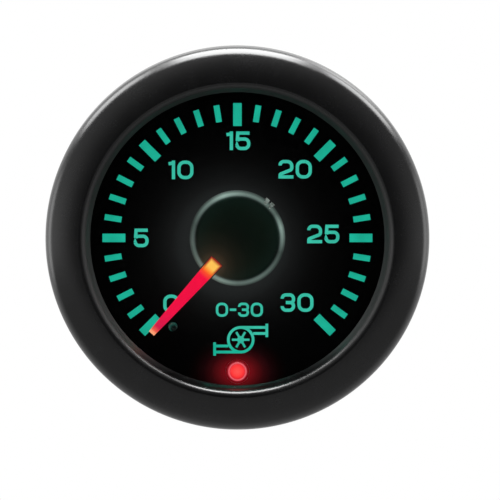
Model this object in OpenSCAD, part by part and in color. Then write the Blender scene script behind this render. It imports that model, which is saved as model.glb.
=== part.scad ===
// A 52 mm panel-mounted boost gauge with an electronic pointer movement.
// The gauge faces -Y with +Z up. The origin is on the gauge's axis, in the plane where the
// bezel's rear face meets the panel. Modules draw in the dial's own axes: x right, y up,
// z towards the driver, so the case lies at z below zero.

/* [Bezel] */
// Outer diameter of the bezel
bezel_diameter = 58.5; // [57:0.1:62]
// Width of the bezel's overhang past the barrel
bezel_overhang = 3.25; // [3:0.05:4]
// Height of the bezel's lip above the lens seal
lip_rise = 2.1; // [1.8:0.1:3.5]
// Slope of the lip's inner face, from the clear view's edge to the crest
lip_flare = 0.55; // [0.4:0.05:0.7]
// Radius of the bezel's domed front, in section
crown_radius = 11.5; // [10.5:0.1:15]
// Radius of the bezel's outer edge, in section
edge_radius = 2.2; // [1:0.1:2.4]
// Radius of the lip's crest, in section
crest_radius = 0.5; // [0.3:0.05:0.7]
// Margin by which the bezel covers the spacer ring's bore
view_margin = 0.2; // [0.1:0.05:0.4]

/* [Case] */
// Depth of the barrel behind the panel's front face
barrel_depth = 30; // [30:0.5:40]
// Wall thickness of the barrel
case_wall = 1.6; // [1.4:0.1:1.8]
// Wall thickness of the barrel's front neck, round the lens
rim_wall = 1.15; // [1:0.05:1.3]
// Thickness of the rear cover's flange
cover_thickness = 2; // [1.6:0.1:3]
// Thickness of the gasket between the barrel and the rear cover
gasket_thickness = 0.5; // [0.3:0.1:1]
// Angle of the screw bosses above and below the horizontal
boss_angle = 24; // [22:1:30]

/* [Lens and dial] */
// Height of the dial's face in front of the panel
dial_rise = 2.3; // [2:0.1:3]
// Thickness of the lens
lens_thickness = 1.2; // [1:0.1:1.8]
// Thickness of the lens seal
seal_thickness = 0.3; // [0.2:0.05:0.5]
// Radial width of the lens seal
seal_width = 2; // [1:0.1:2.2]
// Radial width of the spacer ring round the dial
spacer_width = 2.5; // [2:0.1:2.6]
// Thickness of the black dial plate
dial_thickness = 0.3; // [0.2:0.05:0.5]
// Thickness of the clear film that carries the legends
film_thickness = 0.3; // [0.2:0.05:0.5]
// Thickness of the light guide behind the dial
guide_thickness = 2; // [1.5:0.1:2.5]

/* [Scale on the dial] */
// Sweep of the scale
scale_sweep = 270; // [240:5:275]
// Count of single steps on the scale
scale_steps = 30; // [20:5:30]
// Width of a long tick
long_tick_width = 1.3; // [0.8:0.1:1.6]
// Length of a long tick
long_tick_length = 3.5; // [2.5:0.1:3.6]
// Width of a short tick
short_tick_width = 0.9; // [0.5:0.1:1]
// Length of a short tick
short_tick_length = 2.6; // [1.5:0.1:2.8]
// Height of a numeral
digit_height = 2.8; // [2.4:0.1:3]
// Width of a numeral
digit_width = 2.2; // [1.9:0.1:2.4]
// Stroke of a numeral
digit_stroke = 0.58; // [0.4:0.02:0.64]

/* [Pointer] */
// Angle of the resting pointer, clockwise from straight down
rest_angle = 42; // [38:1:44]
// Diameter of the pointer's cap
cap_diameter = 14.6; // [13:0.1:16]
// Height of the pointer's cap
cap_height = 1.4; // [1.3:0.1:2]
// Width of the pointer at its inner end
pointer_root_width = 2.2; // [2:0.1:2.6]
// Width of the pointer near its tip
pointer_neck_width = 1.5; // [1.2:0.1:1.7]
// Width of the pointer's flat tip
pointer_tip_width = 1; // [0.6:0.1:1.1]
// Diameter of the steel shaft that carries the pointer
shaft_diameter = 1.5; // [1.2:0.1:1.6]

/* [Warning lamp and stop] */
// Diameter of the warning lamp
lamp_diameter = 3.2; // [2.8:0.1:3.2]
// Diameter of the pin that stops the pointer below zero
stop_diameter = 1.3; // [1:0.1:1.5]

/* [Movement] */
// Face width of a gear wheel
gear_width = 1.2; // [1:0.1:1.3]
// Diameter of the magnet on the rotor
magnet_diameter = 5.2; // [4.6:0.1:5.4]
// Wall thickness of the motor's housing
motor_wall = 1; // [0.8:0.1:1.2]

/* [Mounting clamp] */
// Thickness of the panel that the gauge is clamped to
panel_thickness = 3; // [1.5:0.1:4]
// Length by which the clamp's legs outreach the case
leg_reserve = 1.7; // [1.5:0.1:3.5]
// Width of the clamp's strap
strap_width = 12; // [11:0.5:13]
// Thickness of the clamp's strap
strap_thickness = 1.2; // [1:0.1:1.6]
// Gap between a stud's head and the rear cover's plug
stud_edge_gap = 0.9; // [0.7:0.1:1.9]
// Diameter of a stud
stud_diameter = 4; // [3:0.5:4]
// Length of a stud behind the rear cover
stud_reach = 17; // [15:0.5:20]
// Diameter of a thumb nut
nut_diameter = 11; // [10:0.5:12]

/* [Connectors] */
// Spacing of the connector pins
pin_pitch = 2.5; // [2.3:0.1:2.54]
// Outer height of a connector's shroud
socket_height = 6.6; // [6.4:0.1:6.8]
// Length of a shroud behind the rear cover
socket_reach = 3.5; // [3:0.1:5]

/* [Hidden] */
$fn = 96;

// Distance by which a cut runs past what it cuts
overrun = 1;
// Clearance of a pressed pin or arbor, on the radius
press_gap = 0.01;
// Clearance of a turning pivot, on the radius
pivot_gap = 0.05;
// Clearance along a shaft at each end of a turning part
end_float = 0.05;
// Clearance of a loose fit, on each side
loose_gap = 0.15;
// Gap round the printed legends in the dial plate
print_gap = 0.02;

// Barrel and rim
bezel_r = bezel_diameter / 2;
barrel_r = bezel_r - bezel_overhang;
case_bore_r = barrel_r - case_wall;
neck_step = 0.4;
neck_r = barrel_r + neck_step;
rim_bore_r = neck_r - rim_wall;
stack_r = rim_bore_r - loose_gap;
ridge_height = 0.3;
ridge_low = 3;
ridge_high = 4.2;
rim_gap = 0.5;

// Heights of the stack, from the dial to the bezel's shoulder
cap_lift = 0.4;
lens_gap = 0.3;
spacer_height = cap_lift + cap_height + lens_gap;
spacer_top = dial_rise + spacer_height;
lens_top = spacer_top + lens_thickness;
shoulder_z = lens_top + seal_thickness;
rim_top = shoulder_z - rim_gap;
film_top = dial_rise - dial_thickness;
ledge_z = film_top - film_thickness;
spacer_bore_r = stack_r - spacer_width;

// Bezel section
bezel_bore_r = neck_r + pivot_gap;
bezel_height = shoulder_z + lip_rise;
rear_chamfer = 0.4;
view_r = spacer_bore_r - view_margin;
lip_r = view_r + lip_flare;
crown_z = bezel_height - crown_radius;
crest_r = lip_r + crest_radius;
crest_z = crown_z + sqrt(pow(crown_radius - crest_radius, 2) - pow(crest_r - lip_r, 2));
edge_r = bezel_r - edge_radius;
edge_z = crown_z + sqrt(pow(crown_radius - edge_radius, 2) - pow(edge_r - lip_r, 2));
crown_end_r = lip_r + (edge_r - lip_r) * crown_radius / (crown_radius - edge_radius);

// Light guide and the board behind it
guide_rear = ledge_z - guide_thickness;
lamp_room = 1;
board_thickness = 1.6;
display_front = guide_rear - lamp_room;
display_rear = display_front - board_thickness;
board_r = case_bore_r - 2 * loose_gap;
guide_r = case_bore_r - loose_gap;
foot_r = 1.2;
foot_inset = 1.92;
foot_circle_r = guide_r - foot_inset - foot_r;
foot_angles = [90, 200, 340];

// Screw bosses in the barrel
boss_r = 2.6;
boss_bite = 0.6;
boss_circle_r = case_bore_r - boss_r + boss_bite;
boss_angles = [boss_angle, 180 - boss_angle, 180 + boss_angle, 360 - boss_angle];
notch_gap = 0.4;
cover_screw_r = 1.1;
cover_screw_head_r = 2.1;
cover_screw_head = 1.4;
cover_screw_length = 10;
recess_width = 0.5;
recess_depth = 0.7;
recess_share = 1.2;

// Rear cover
barrel_rear = -barrel_depth;
cover_front = barrel_rear - gasket_thickness;
cover_rear = cover_front - cover_thickness;
cover_inset = 0.3;
cover_r = barrel_r - cover_inset;
plug_depth = 2;
plug_front = cover_front + plug_depth;
plug_r = case_bore_r - loose_gap;
plug_bore_r = boss_circle_r - boss_r;
post_share = 0.54;
post_place = post_share * board_r;
post_r = 2.2;

// Connectors
pin_size = 0.64;
pin_hole_r = 0.5;
solder_reach = 0.8;
socket_side = 2.45;
socket_wall = 1;
socket_floor = 4.4;
pin_recess = 4.5;
socket_mouth = cover_rear - socket_reach;
latch_width = 3;
latch_depth = 2.4;
latch_cut = 3;
power_count = 4;
power_y = 13.5;
sensor_count = 3;
sensor_y = -12.5;

// Link between the two boards
link_count = 6;
link_pitch = 2;
link_y = -17;
link_pin = 0.5;
link_hole_r = 0.4;
link_body_y = 2;
link_body_z = 2.5;
link_tail = 0.4;

// Components on the boards
processor_size = 9;
processor_at = [-6, 3];
processor_height = 1.2;
processor_pad = 6.3;
lead_size = 0.3;
lead_reach = 0.9;
lead_pitch = 0.9;
lead_count = 8;
driver_size = [5, 4, 1.5];
driver_at = [5.5, 4.5];
driver_lead_pitch = 1.2;
driver_lead_count = 4;
capacitor_r = 3;
capacitor_height = 6;
capacitor_base = 1;
capacitor_base_size = 6.6;
capacitor_inset = 6.5;
capacitor_low_inset = 5.2;
capacitor_x = post_place - capacitor_inset;
capacitor_y = -5.5;
capacitor_at = [[capacitor_x, capacitor_y], [-capacitor_x, capacitor_low_inset - post_place]];
chip_size = [1.6, 0.8, 0.5];
chip_row_y = 9;
chip_row_pitch = 2.5;
chip_row_count = 6;
backlight_size = [1.6, 1.2, 0.6];
backlight_circle_r = 13.5;
backlight_count = 8;

// Warning lamp
lamp_r = lamp_diameter / 2;
lamp_hole_gap = 0.27;
lamp_hole_r = lamp_r + lamp_hole_gap;
lamp_edge_gap = 0.23;
lamp_y = -(spacer_bore_r - lamp_hole_r - lamp_edge_gap);
lamp_flange = 0.3;
lamp_flange_height = 0.7;
lamp_top = dial_rise + dial_thickness / 2;
lead_spread = 2.54;
lead_r = 0.25;

// Scale and legends
tick_edge_gap = 2;
long_tick_end_r = spacer_bore_r - tick_edge_gap;
short_tick_inset = 0.1;
ticks_per_number = 5;
digit_corner = 0.75;
digit_gap = 0.5;
flag_length = 0.75;
flag_rise = 0.7;
// Centres of the numerals, x right and y up, as shares of the circle inside the long ticks
number_circle_r = long_tick_end_r - long_tick_length;
number_0_share = [-0.591, -0.591];
number_5_share = [-0.86, 0];
number_10_share = [-0.503, 0.608];
number_15_share = [0, 0.868];
number_20_share = [0.515, 0.614];
number_25_share = [0.766, 0.035];
number_30_share = [0.538, -0.579];
range_share = [0.018, -0.643];
sign_share = [0.029, -0.912];
small_share = 0.76;
dash_width = 1.3;
sign_r = 2.1;
sign_stroke = 0.42;
sign_outlet = 1.35;
sign_length = 4.2;
sign_flange = 0.35;
sign_hub_r = 0.55;
blade_count = 6;
blade_width = 0.3;
blade_end_r = 1.25;

// Pointer and its stop
shaft_r = shaft_diameter / 2;
cap_r = cap_diameter / 2;
cap_low = dial_rise + cap_lift;
cap_top = cap_low + cap_height;
cap_bevel_width = 0.95;
cap_bevel_height = 0.5;
hub_thickness = 0.35;
hub_low = cap_low + end_float;
hub_top = hub_low + hub_thickness;
hub_r = 3.4;
arm_thickness = 0.8;
arm_bevel = 0.25;
arm_top = hub_top + arm_thickness;
arm_start_r = 4.7;
arm_tip_gap = 3;
arm_tip_r = spacer_bore_r - arm_tip_gap;
arm_tip_length = 2.8;
arm_neck_r = arm_tip_r - arm_tip_length;
arm_foot_end_r = 9;
slot_gap = 0.1;
nub_width = 1.7;
nub_reach = 0.3;
nub_height = 0.7;
nub_notch = 0.5;
cap_roof = 0.35;
shaft_top = cap_top - cap_roof - end_float;
stop_r = stop_diameter / 2;
stop_circle_r = arm_neck_r;
stop_gap = 0.36;
stop_angle = rest_angle
    - asin((pointer_neck_width / 2 + stop_r + stop_gap) / stop_circle_r);
stop_depth = 1.2;
stop_top = arm_top + end_float;

// Gear train: rotor pinion to idler wheel, idler pinion to output wheel
output_teeth = 72;
idler_pinion_teeth = 10;
idler_teeth = 54;
rotor_teeth = 9;
pressure_angle = 20;
addendum_share = 0.8;
dedendum_share = 1.05;
backlash_share = 0.06;
flank_steps = 3;
// Share of the bore's radius that makes the module of the gear teeth
module_share = 1 / 97.6;
gear_module = module_share * case_bore_r;
output_tip_r = gear_module * (output_teeth / 2 + addendum_share);
idler_tip_r = gear_module * (idler_teeth / 2 + addendum_share);
output_centres = gear_module * (output_teeth + idler_pinion_teeth) / 2;
rotor_centres = gear_module * (idler_teeth + rotor_teeth) / 2;
idler_angle = 54;
idler_at = output_centres * [cos(idler_angle), sin(idler_angle)];
rotor_at = [0, idler_at[1] + sqrt(pow(rotor_centres, 2) - pow(idler_at[0], 2))];
rotor_direction = atan2(rotor_at[1] - idler_at[1], rotor_at[0] - idler_at[0]);
idler_pinion_phase = mesh_phase(output_teeth, idler_pinion_teeth, 0, idler_angle);
rotor_phase = mesh_phase(idler_teeth, rotor_teeth, 0, rotor_direction);

// Levels inside the motor, from its front plate to its cover
motor_front = display_rear;
plate_thickness = 1.2;
plate_rear = motor_front - plate_thickness;
first_gap = 0.5;
level_gap = 0.6;
pinion_margin = 0.2;
output_gear_front = plate_rear - first_gap;
output_gear_rear = output_gear_front - gear_width;
idler_front = output_gear_rear - level_gap;
idler_rear = idler_front - gear_width;
magnet_gap = 0.6;
magnet_length = 3.2;
magnet_front = idler_rear - magnet_gap;
magnet_rear = magnet_front - magnet_length;
magnet_middle = (magnet_front + magnet_rear) / 2;
cover_gap = 0.4;
motor_cover_front = magnet_rear - cover_gap;
motor_rear = motor_cover_front - plate_thickness;
pivot_depth = 0.8;

// Main board, behind the motor by the height of its capacitors
capacitor_gap = 1;
main_front = motor_rear - capacitor_gap - capacitor_height;
main_rear = main_front - board_thickness;
board_screw_share = 0.57;
board_screw_r = 0.9;
board_screw_head_r = 1.8;
board_screw_head = 1.2;
board_screw_length = board_screw_share * (main_front - cover_front);

// Motor pieces
output_hub_r = 1.6;
idler_bore_r = 0.55;
idler_axle_r = idler_bore_r - pivot_gap;
idler_hub_r = 1.2;
idler_hub_height = 0.3;
idler_post_r = 1.1;
arbor_step = 0.0625;
rotor_arbor_r = gear_module * (rotor_teeth / 2 - dedendum_share) - arbor_step;
rotor_pivot_r = 0.35;
magnet_r = magnet_diameter / 2;
air_gap = 0.4;
stator_bore_r = magnet_r + air_gap;
stator_ring_share = 8;
stator_ring_width = stator_ring_share * gear_module;
stator_ring_r = stator_bore_r + stator_ring_width;
stator_thickness = 1.6;
stator_bar = 3;
stator_slot = 0.5;
stator_bridge = 0.5;
leg_width = 2;
coil_gap = 0.175;
bobbin_flange_x = 2.2;
coil_x = idler_at[0] + idler_post_r + coil_gap + bobbin_flange_x;
leg_end_y = -4.5;
coil_low = -3.5;
coil_high = 8.5;
bobbin_wall = 0.3;
bobbin_flange_z = 1.85;
bobbin_flange_thickness = 1;
winding_inset = 0.25;
motor_pin = 0.5;
motor_pin_hole_r = 0.45;
motor_pin_depth = 0.7;
motor_pin_first = 0.4;
motor_pin_pitch = 1.5;
motor_side_gap = 0.225;
motor_inner_x = idler_at[0] + idler_tip_r + motor_side_gap;
motor_low_gap = 0.8;
motor_inner_low = -(output_tip_r + motor_low_gap);
motor_top_gap = 0.1;
motor_inner_high = rotor_at[1] + stator_ring_r + motor_top_gap;
motor_corner = 3;
cover_lip = 0.7;
cover_lip_height = 0.8;
stator_post_r = 0.9;
boss_wall = 0.75;
shaft_boss_r = shaft_r + boss_wall;
shaft_boss_tail = 0.4;
peg_r = 0.9;
peg_length = 1.4;
peg_side_inset = 1.7;
peg_high_inset = 4;
peg_low_inset = 2;
peg_x = motor_inner_x - peg_side_inset;
peg_at = [[-peg_x, motor_inner_high - peg_high_inset], [peg_x, motor_inner_low + peg_low_inset]];

// Clamp, studs and nuts
stud_r = stud_diameter / 2;
stud_head_r = 3.4;
stud_x = plug_bore_r - stud_edge_gap - stud_head_r;
stud_head = 1.2;
stud_chamfer = 0.5;
leg_gap = 1.3;
leg_x = barrel_r + leg_gap;
leg_length = leg_reserve - cover_rear;
strap_rear = -panel_thickness - leg_length;
strap_front = strap_rear + strap_thickness;
bend_radius = 1.5;
strap_hole_gap = 0.3;
washer_r = 4.4;
washer_thickness = 0.8;
nut_height = 5.5;
nut_collar = 1.5;
nut_collar_r = 4.2;
nut_chamfer = 0.4;
nut_gap = 0.1;
nut_front = strap_rear - washer_thickness;
knurl_count = 20;
knurl_r = 0.6;
knurl_depth = 0.35;

// Phase of a gear that meshes with another in the given direction from it
function mesh_phase(teeth, other_teeth, phase, direction) =
    direction + 180
    - 360 / other_teeth * (1 / 2 - (direction - phase) * teeth / 360);

function involute(angle) = tan(angle) * 180 / PI - angle;

// Half the angle of a tooth at a radius, from the involute of its base circle
function tooth_half(teeth, r, base_r) =
    90 / teeth - backlash_share / teeth * 180 / PI
    + involute(pressure_angle) - involute(acos(base_r / max(r, base_r)));

// Radii at which a flank is drawn, from the root to the tip
function flank_radii(root_r, base_r, tip_r) =
    let (start = max(root_r, base_r))
    concat(
        root_r < base_r ? [root_r] : [],
        [for (i = [0 : flank_steps]) start + (tip_r - start) * i / flank_steps]
    );

function polar(r, angle) = r * [cos(angle), sin(angle)];

function gear_points(teeth, phase) =
    let (
        pitch_r = gear_module * teeth / 2,
        base_r = pitch_r * cos(pressure_angle),
        radii = flank_radii(
            pitch_r - dedendum_share * gear_module,
            base_r,
            pitch_r + addendum_share * gear_module
        ),
        last = len(radii) - 1
    )
    [
        for (k = [0 : teeth - 1])
        let (middle = phase + k * 360 / teeth)
        each concat(
            [for (i = [0 : last]) polar(radii[i], middle - tooth_half(teeth, radii[i], base_r))],
            [for (i = [0 : last])
                polar(radii[last - i], middle + tooth_half(teeth, radii[last - i], base_r))]
        )
    ];

// Turns the dial's axes into the part's: x right, z up, and the driver on the -Y side
module gauge_axes() { rotate([90, 0, 0]) children(); }

// A solid of revolution about the gauge's axis, from a section of radius and height
module turned() { rotate_extrude() children(); }

// A disc or ring between two heights
module ring(low, high, outer_r, inner_r) {
    translate([0, 0, low]) linear_extrude(high - low) difference() {
        circle(outer_r);
        circle(inner_r);
    }
}

module disc(low, high, r) { translate([0, 0, low]) cylinder(h = high - low, r = r); }

// A round hole cut clean through everything between two heights
module drill(low, high, r) {
    translate([0, 0, low - overrun]) cylinder(h = high - low + 2 * overrun, r = r);
}

module block(low, high, size_x, size_y) {
    translate([-size_x / 2, -size_y / 2, low]) cube([size_x, size_y, high - low]);
}

module at(place) { translate([place[0], place[1], 0]) children(); }

module both_sides(x) { for (side = [-1, 1]) translate([side * x, 0, 0]) children(); }

module four_corners(x, y) {
    for (sx = [-1, 1], sy = [-1, 1]) translate([sx * x, sy * y, 0]) children();
}

module in_row(count, pitch) {
    for (i = [0 : count - 1]) translate([(i - (count - 1) / 2) * pitch, 0, 0]) children();
}

module on_circle(r, angles) { for (a = angles) rotate(a) translate([r, 0, 0]) children(); }

// A flat rectangle with round corners, between two corner points
module round_rectangle(x0, y0, x1, y1, r) {
    translate([x0 + r, y0]) square([x1 - x0 - 2 * r, y1 - y0]);
    translate([x0, y0 + r]) square([x1 - x0, y1 - y0 - 2 * r]);
    for (x = [x0 + r, x1 - r], y = [y0 + r, y1 - r]) translate([x, y]) circle(r);
}

// A pan-head screw whose head seats at height zero and whose shank points along -z
module pan_screw(head_r, head_height, shank_r, length) {
    difference() {
        union() {
            disc(0, head_height, head_r);
            disc(-length, 0, shank_r);
        }
        for (a = [0, 90]) rotate(a)
            block(head_height - recess_depth, head_height + overrun,
                recess_share * head_r, recess_width);
    }
}

/* Front of the gauge */

module bezel_section() {
    translate([bezel_bore_r, 0]) polygon([
        [0, 0],
        [bezel_r - bezel_bore_r - rear_chamfer, 0],
        [bezel_r - bezel_bore_r, rear_chamfer],
        [bezel_r - bezel_bore_r, edge_z],
        [0, edge_z]
    ]);
    translate([bezel_bore_r, 0]) square([crown_end_r - bezel_bore_r, shoulder_z]);
    intersection() {
        translate([edge_r, edge_z]) circle(edge_radius);
        translate([edge_r, edge_z]) square(edge_radius + overrun);
    }
    intersection() {
        translate([lip_r, crown_z]) circle(crown_radius);
        polygon([
            [view_r, shoulder_z],
            [crown_end_r, shoulder_z],
            [crown_end_r, bezel_height],
            [crest_r, bezel_height],
            [crest_r, crest_z],
            [lip_r, crest_z]
        ]);
    }
    translate([crest_r, crest_z]) circle(crest_radius);
}

module ridge_section(growth) {
    polygon([
        [0, ridge_low - growth],
        [neck_r + growth, ridge_low - growth],
        [neck_r + ridge_height + growth, ridge_low + ridge_height - growth],
        [neck_r + ridge_height + growth, ridge_high - ridge_height + growth],
        [neck_r + growth, ridge_high + growth],
        [0, ridge_high + growth]
    ]);
}

module bezel() {
    color("#141517") gauge_axes() turned() difference() {
        bezel_section();
        ridge_section(pivot_gap);
    }
}

module lens_seal() {
    color("#1c1c1c") gauge_axes() ring(lens_top, shoulder_z, stack_r, stack_r - seal_width);
}

module lens() {
    color("#dfe9ee", 0.3) gauge_axes() disc(spacer_top, lens_top, stack_r);
}

module spacer_ring() {
    color("#101214") gauge_axes() ring(dial_rise, spacer_top, stack_r, spacer_bore_r);
}

/* Dial */

// One bowl of a numeral, open on its left (-1), its right (1) or neither (0)
module bowl(low, high, open_side, grow) {
    difference() {
        round_rectangle(-grow, low - grow, digit_width + grow, high + grow, digit_corner + grow);
        round_rectangle(
            digit_stroke + grow, low + digit_stroke + grow,
            digit_width - digit_stroke - grow, high - digit_stroke - grow,
            digit_corner - digit_stroke - grow + press_gap
        );
        if (open_side != 0)
            translate([open_side < 0 ? -overrun : digit_width / 2, low + digit_stroke + grow])
                square([digit_width / 2 + overrun, high - low - 2 * digit_stroke - 2 * grow]);
    }
}

module digit(value, grow) {
    waist_low = (digit_height - digit_stroke) / 2;
    waist_high = (digit_height + digit_stroke) / 2;
    one_x = digit_width - digit_stroke;
    if (value == "0") bowl(0, digit_height, 0, grow);
    if (value == "1") {
        translate([one_x - grow, -grow])
            square([digit_stroke + 2 * grow, digit_height + 2 * grow]);
        polygon([
            [one_x, digit_height + grow],
            [one_x - flag_length - grow, digit_height - flag_rise + grow],
            [one_x - flag_length - grow, digit_height - flag_rise - digit_stroke - grow],
            [one_x, digit_height - digit_stroke - grow]
        ]);
    }
    if (value == "2") {
        bowl(waist_low, digit_height, -1, grow);
        bowl(0, waist_high, 1, grow);
    }
    if (value == "3") {
        bowl(waist_low, digit_height, -1, grow);
        bowl(0, waist_high, -1, grow);
    }
    if (value == "5") {
        bowl(waist_low, digit_height, 1, grow);
        bowl(0, waist_high, -1, grow);
    }
    if (value == "-")
        translate([(digit_width - dash_width) / 2 - grow, waist_low - grow])
            square([dash_width + 2 * grow, digit_stroke + 2 * grow]);
}

// A number whose middle is at the given place
module number(value, place, grow) {
    pitch = digit_width + digit_gap;
    width = len(value) * pitch - digit_gap;
    translate([place[0] - width / 2, place[1] - digit_height / 2])
        for (i = [0 : len(value) - 1]) translate([i * pitch, 0]) digit(value[i], grow);
}

module tick(angle, end_r, length, width, grow) {
    rotate(angle) translate([end_r - length - grow, -width / 2 - grow])
        square([length + 2 * grow, width + 2 * grow]);
}

// A plain compressor sign: a round housing with a pipe on each side
module compressor_sign(grow) {
    difference() {
        circle(sign_r + grow);
        circle(sign_r - sign_stroke - grow);
    }
    circle(sign_hub_r + grow);
    for (i = [0 : blade_count - 1]) rotate(i * 360 / blade_count)
        translate([0, -blade_width / 2 - grow])
            square([blade_end_r + grow, blade_width + 2 * grow]);
    for (a = [0, 180]) rotate(a) {
        translate([0, sign_r - sign_stroke - grow])
            square([sign_length + grow, sign_stroke + 2 * grow]);
        translate([sign_r - sign_stroke, sign_r - sign_outlet - grow])
            square([sign_length - sign_r + sign_stroke + grow, sign_stroke + 2 * grow]);
        translate([sign_length - sign_stroke - grow, sign_r - sign_outlet - sign_flange - grow])
            square([sign_stroke + 2 * grow, sign_outlet + 2 * sign_flange + 2 * grow]);
    }
}

module legends(grow) {
    for (i = [0 : scale_steps]) {
        angle = 90 + scale_sweep / 2 - i * scale_sweep / scale_steps;
        if (i % ticks_per_number == 0)
            tick(angle, long_tick_end_r, long_tick_length, long_tick_width, grow);
        else
            tick(angle, long_tick_end_r - short_tick_inset, short_tick_length,
                short_tick_width, grow);
    }
    number("0", number_circle_r * number_0_share, grow);
    number("5", number_circle_r * number_5_share, grow);
    number("10", number_circle_r * number_10_share, grow);
    number("15", number_circle_r * number_15_share, grow);
    number("20", number_circle_r * number_20_share, grow);
    number("25", number_circle_r * number_25_share, grow);
    number("30", number_circle_r * number_30_share, grow);
    translate(number_circle_r * range_share)
        scale(small_share) number("0-30", [0, 0], grow);
    translate(number_circle_r * sign_share) compressor_sign(grow);
}

// Round holes that go through the dial's layers
module dial_holes(low, high) {
    drill(low, high, shaft_boss_r + loose_gap);
    translate([0, lamp_y, 0]) drill(low, high, lamp_hole_r);
    at(polar(stop_circle_r, -90 - stop_angle)) drill(low, high, stop_r + pivot_gap);
}

module dial_face() {
    color("#0b0d0d") gauge_axes() difference() {
        disc(film_top, dial_rise, stack_r);
        dial_holes(film_top, dial_rise);
        translate([0, 0, film_top - overrun])
            linear_extrude(dial_thickness + 2 * overrun) legends(print_gap);
    }
}

module dial_markings() {
    color("#1cb096") gauge_axes() {
        difference() {
            disc(ledge_z, film_top, stack_r);
            dial_holes(ledge_z, film_top);
        }
        translate([0, 0, film_top]) linear_extrude(dial_thickness) legends(0);
    }
}

module light_guide() {
    color("#cfe6e2", 0.6) gauge_axes() {
        difference() {
            disc(guide_rear, ledge_z, guide_r);
            drill(guide_rear, ledge_z, shaft_boss_r + loose_gap);
            translate([0, lamp_y, 0]) drill(guide_rear, ledge_z, lamp_r + loose_gap);
            at(polar(stop_circle_r, -90 - stop_angle))
                disc(ledge_z - stop_depth, ledge_z + overrun, stop_r + press_gap);
        }
        on_circle(foot_circle_r, foot_angles) disc(display_front, guide_rear, foot_r);
    }
}

module stop_pin() {
    color("#1a1d1f") gauge_axes() at(polar(stop_circle_r, -90 - stop_angle)) {
        disc(ledge_z - stop_depth, stop_top - stop_r, stop_r);
        translate([0, 0, stop_top - stop_r]) sphere(stop_r);
    }
}

module warning_lamp() {
    color("#ff4646") gauge_axes() translate([0, lamp_y, 0]) {
        disc(display_front, display_front + lamp_flange_height, lamp_r + lamp_flange);
        disc(display_front, lamp_top - lamp_r, lamp_r);
        translate([0, 0, lamp_top - lamp_r]) sphere(lamp_r);
    }
}

module lamp_leads() {
    color("#c0c4c8") gauge_axes() translate([0, lamp_y, 0])
        both_sides(lead_spread / 2)
            disc(display_rear - solder_reach, display_front, lead_r);
}

/* Display board */

module display_board() {
    color("#1f5a33") gauge_axes() difference() {
        disc(display_rear, display_front, board_r);
        drill(display_rear, display_front, shaft_boss_r + loose_gap);
        translate([0, lamp_y, 0]) both_sides(lead_spread / 2)
            drill(display_rear, display_front, lead_r + loose_gap);
        translate([0, link_y, 0]) in_row(link_count, link_pitch)
            drill(display_rear, display_front, link_hole_r);
        motor_pin_places() drill(display_rear, display_front, motor_pin_hole_r);
        for (place = peg_at) at(place) drill(display_rear, display_front, peg_r + pivot_gap);
    }
}

module backlight_lamps() {
    color("#e9f2ef") gauge_axes()
        on_circle(backlight_circle_r, [for (i = [0 : backlight_count - 1])
            (i + 1 / 2) * 360 / backlight_count])
            block(display_front, display_front + backlight_size[2],
                backlight_size[0], backlight_size[1]);
}

/* Movement: a stepper motor with a two-stage gear train */

module motor_pin_places() {
    for (side = [-1, 1], i = [0, 1])
        translate([side * (coil_x + motor_pin_first + i * motor_pin_pitch),
            coil_low + bobbin_flange_thickness / 2, 0]) children();
}

module motor_outline(wall) {
    round_rectangle(
        -motor_inner_x - wall, motor_inner_low - wall,
        motor_inner_x + wall, motor_inner_high + wall, motor_corner + wall
    );
}

module motor_slab(low, high, wall) {
    translate([0, 0, low]) linear_extrude(high - low) motor_outline(wall);
}

module motor_housing() {
    color("#2b2e31") gauge_axes() difference() {
        union() {
            difference() {
                motor_slab(motor_cover_front, motor_front, motor_wall);
                motor_slab(motor_cover_front - overrun, plate_rear, 0);
            }
            disc(plate_rear, display_front + shaft_boss_tail, shaft_boss_r);
            for (place = peg_at) at(place)
                disc(motor_front, motor_front + peg_length, peg_r);
            for (place = [[-coil_x, rotor_at[1]], [-coil_x, yoke_y()], [coil_x, yoke_y()]])
                at(place) disc(magnet_middle + stator_thickness / 2, plate_rear, stator_post_r);
        }
        drill(plate_rear, display_front + shaft_boss_tail, shaft_r + pivot_gap);
        motor_pin_places() drill(plate_rear, motor_front, motor_pin_hole_r);
        at(idler_at) disc(plate_rear - overrun, plate_rear + pivot_depth,
            idler_axle_r + press_gap);
        at(rotor_at) disc(plate_rear - overrun, plate_rear + pivot_depth,
            rotor_pivot_r + pivot_gap);
    }
}

module motor_cover() {
    lip_top = motor_cover_front + cover_lip_height;
    color("#34383b") gauge_axes() difference() {
        union() {
            motor_slab(motor_rear, motor_cover_front, motor_wall);
            difference() {
                motor_slab(motor_cover_front, lip_top, -pivot_gap);
                motor_slab(motor_cover_front - overrun, lip_top + overrun, -cover_lip);
            }
            at(idler_at) disc(motor_cover_front, idler_rear - idler_hub_height - end_float,
                idler_post_r);
            for (place = [[-coil_x, rotor_at[1]], [coil_x, rotor_at[1]],
                    [-coil_x, yoke_y()], [coil_x, yoke_y()]])
                at(place) disc(motor_cover_front, magnet_middle - stator_thickness / 2,
                    stator_post_r);
        }
        disc(motor_cover_front - pivot_depth, motor_cover_front + overrun,
            shaft_r + pivot_gap);
        at(idler_at) disc(motor_cover_front - pivot_depth, idler_rear,
            idler_axle_r + press_gap);
        at(rotor_at) disc(motor_cover_front - pivot_depth, motor_cover_front + overrun,
            rotor_pivot_r + pivot_gap);
    }
}

function yoke_y() = leg_end_y - stator_bar / 2;

module stator_slab() {
    translate([0, 0, magnet_middle - stator_thickness / 2])
        linear_extrude(stator_thickness) children();
}

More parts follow.
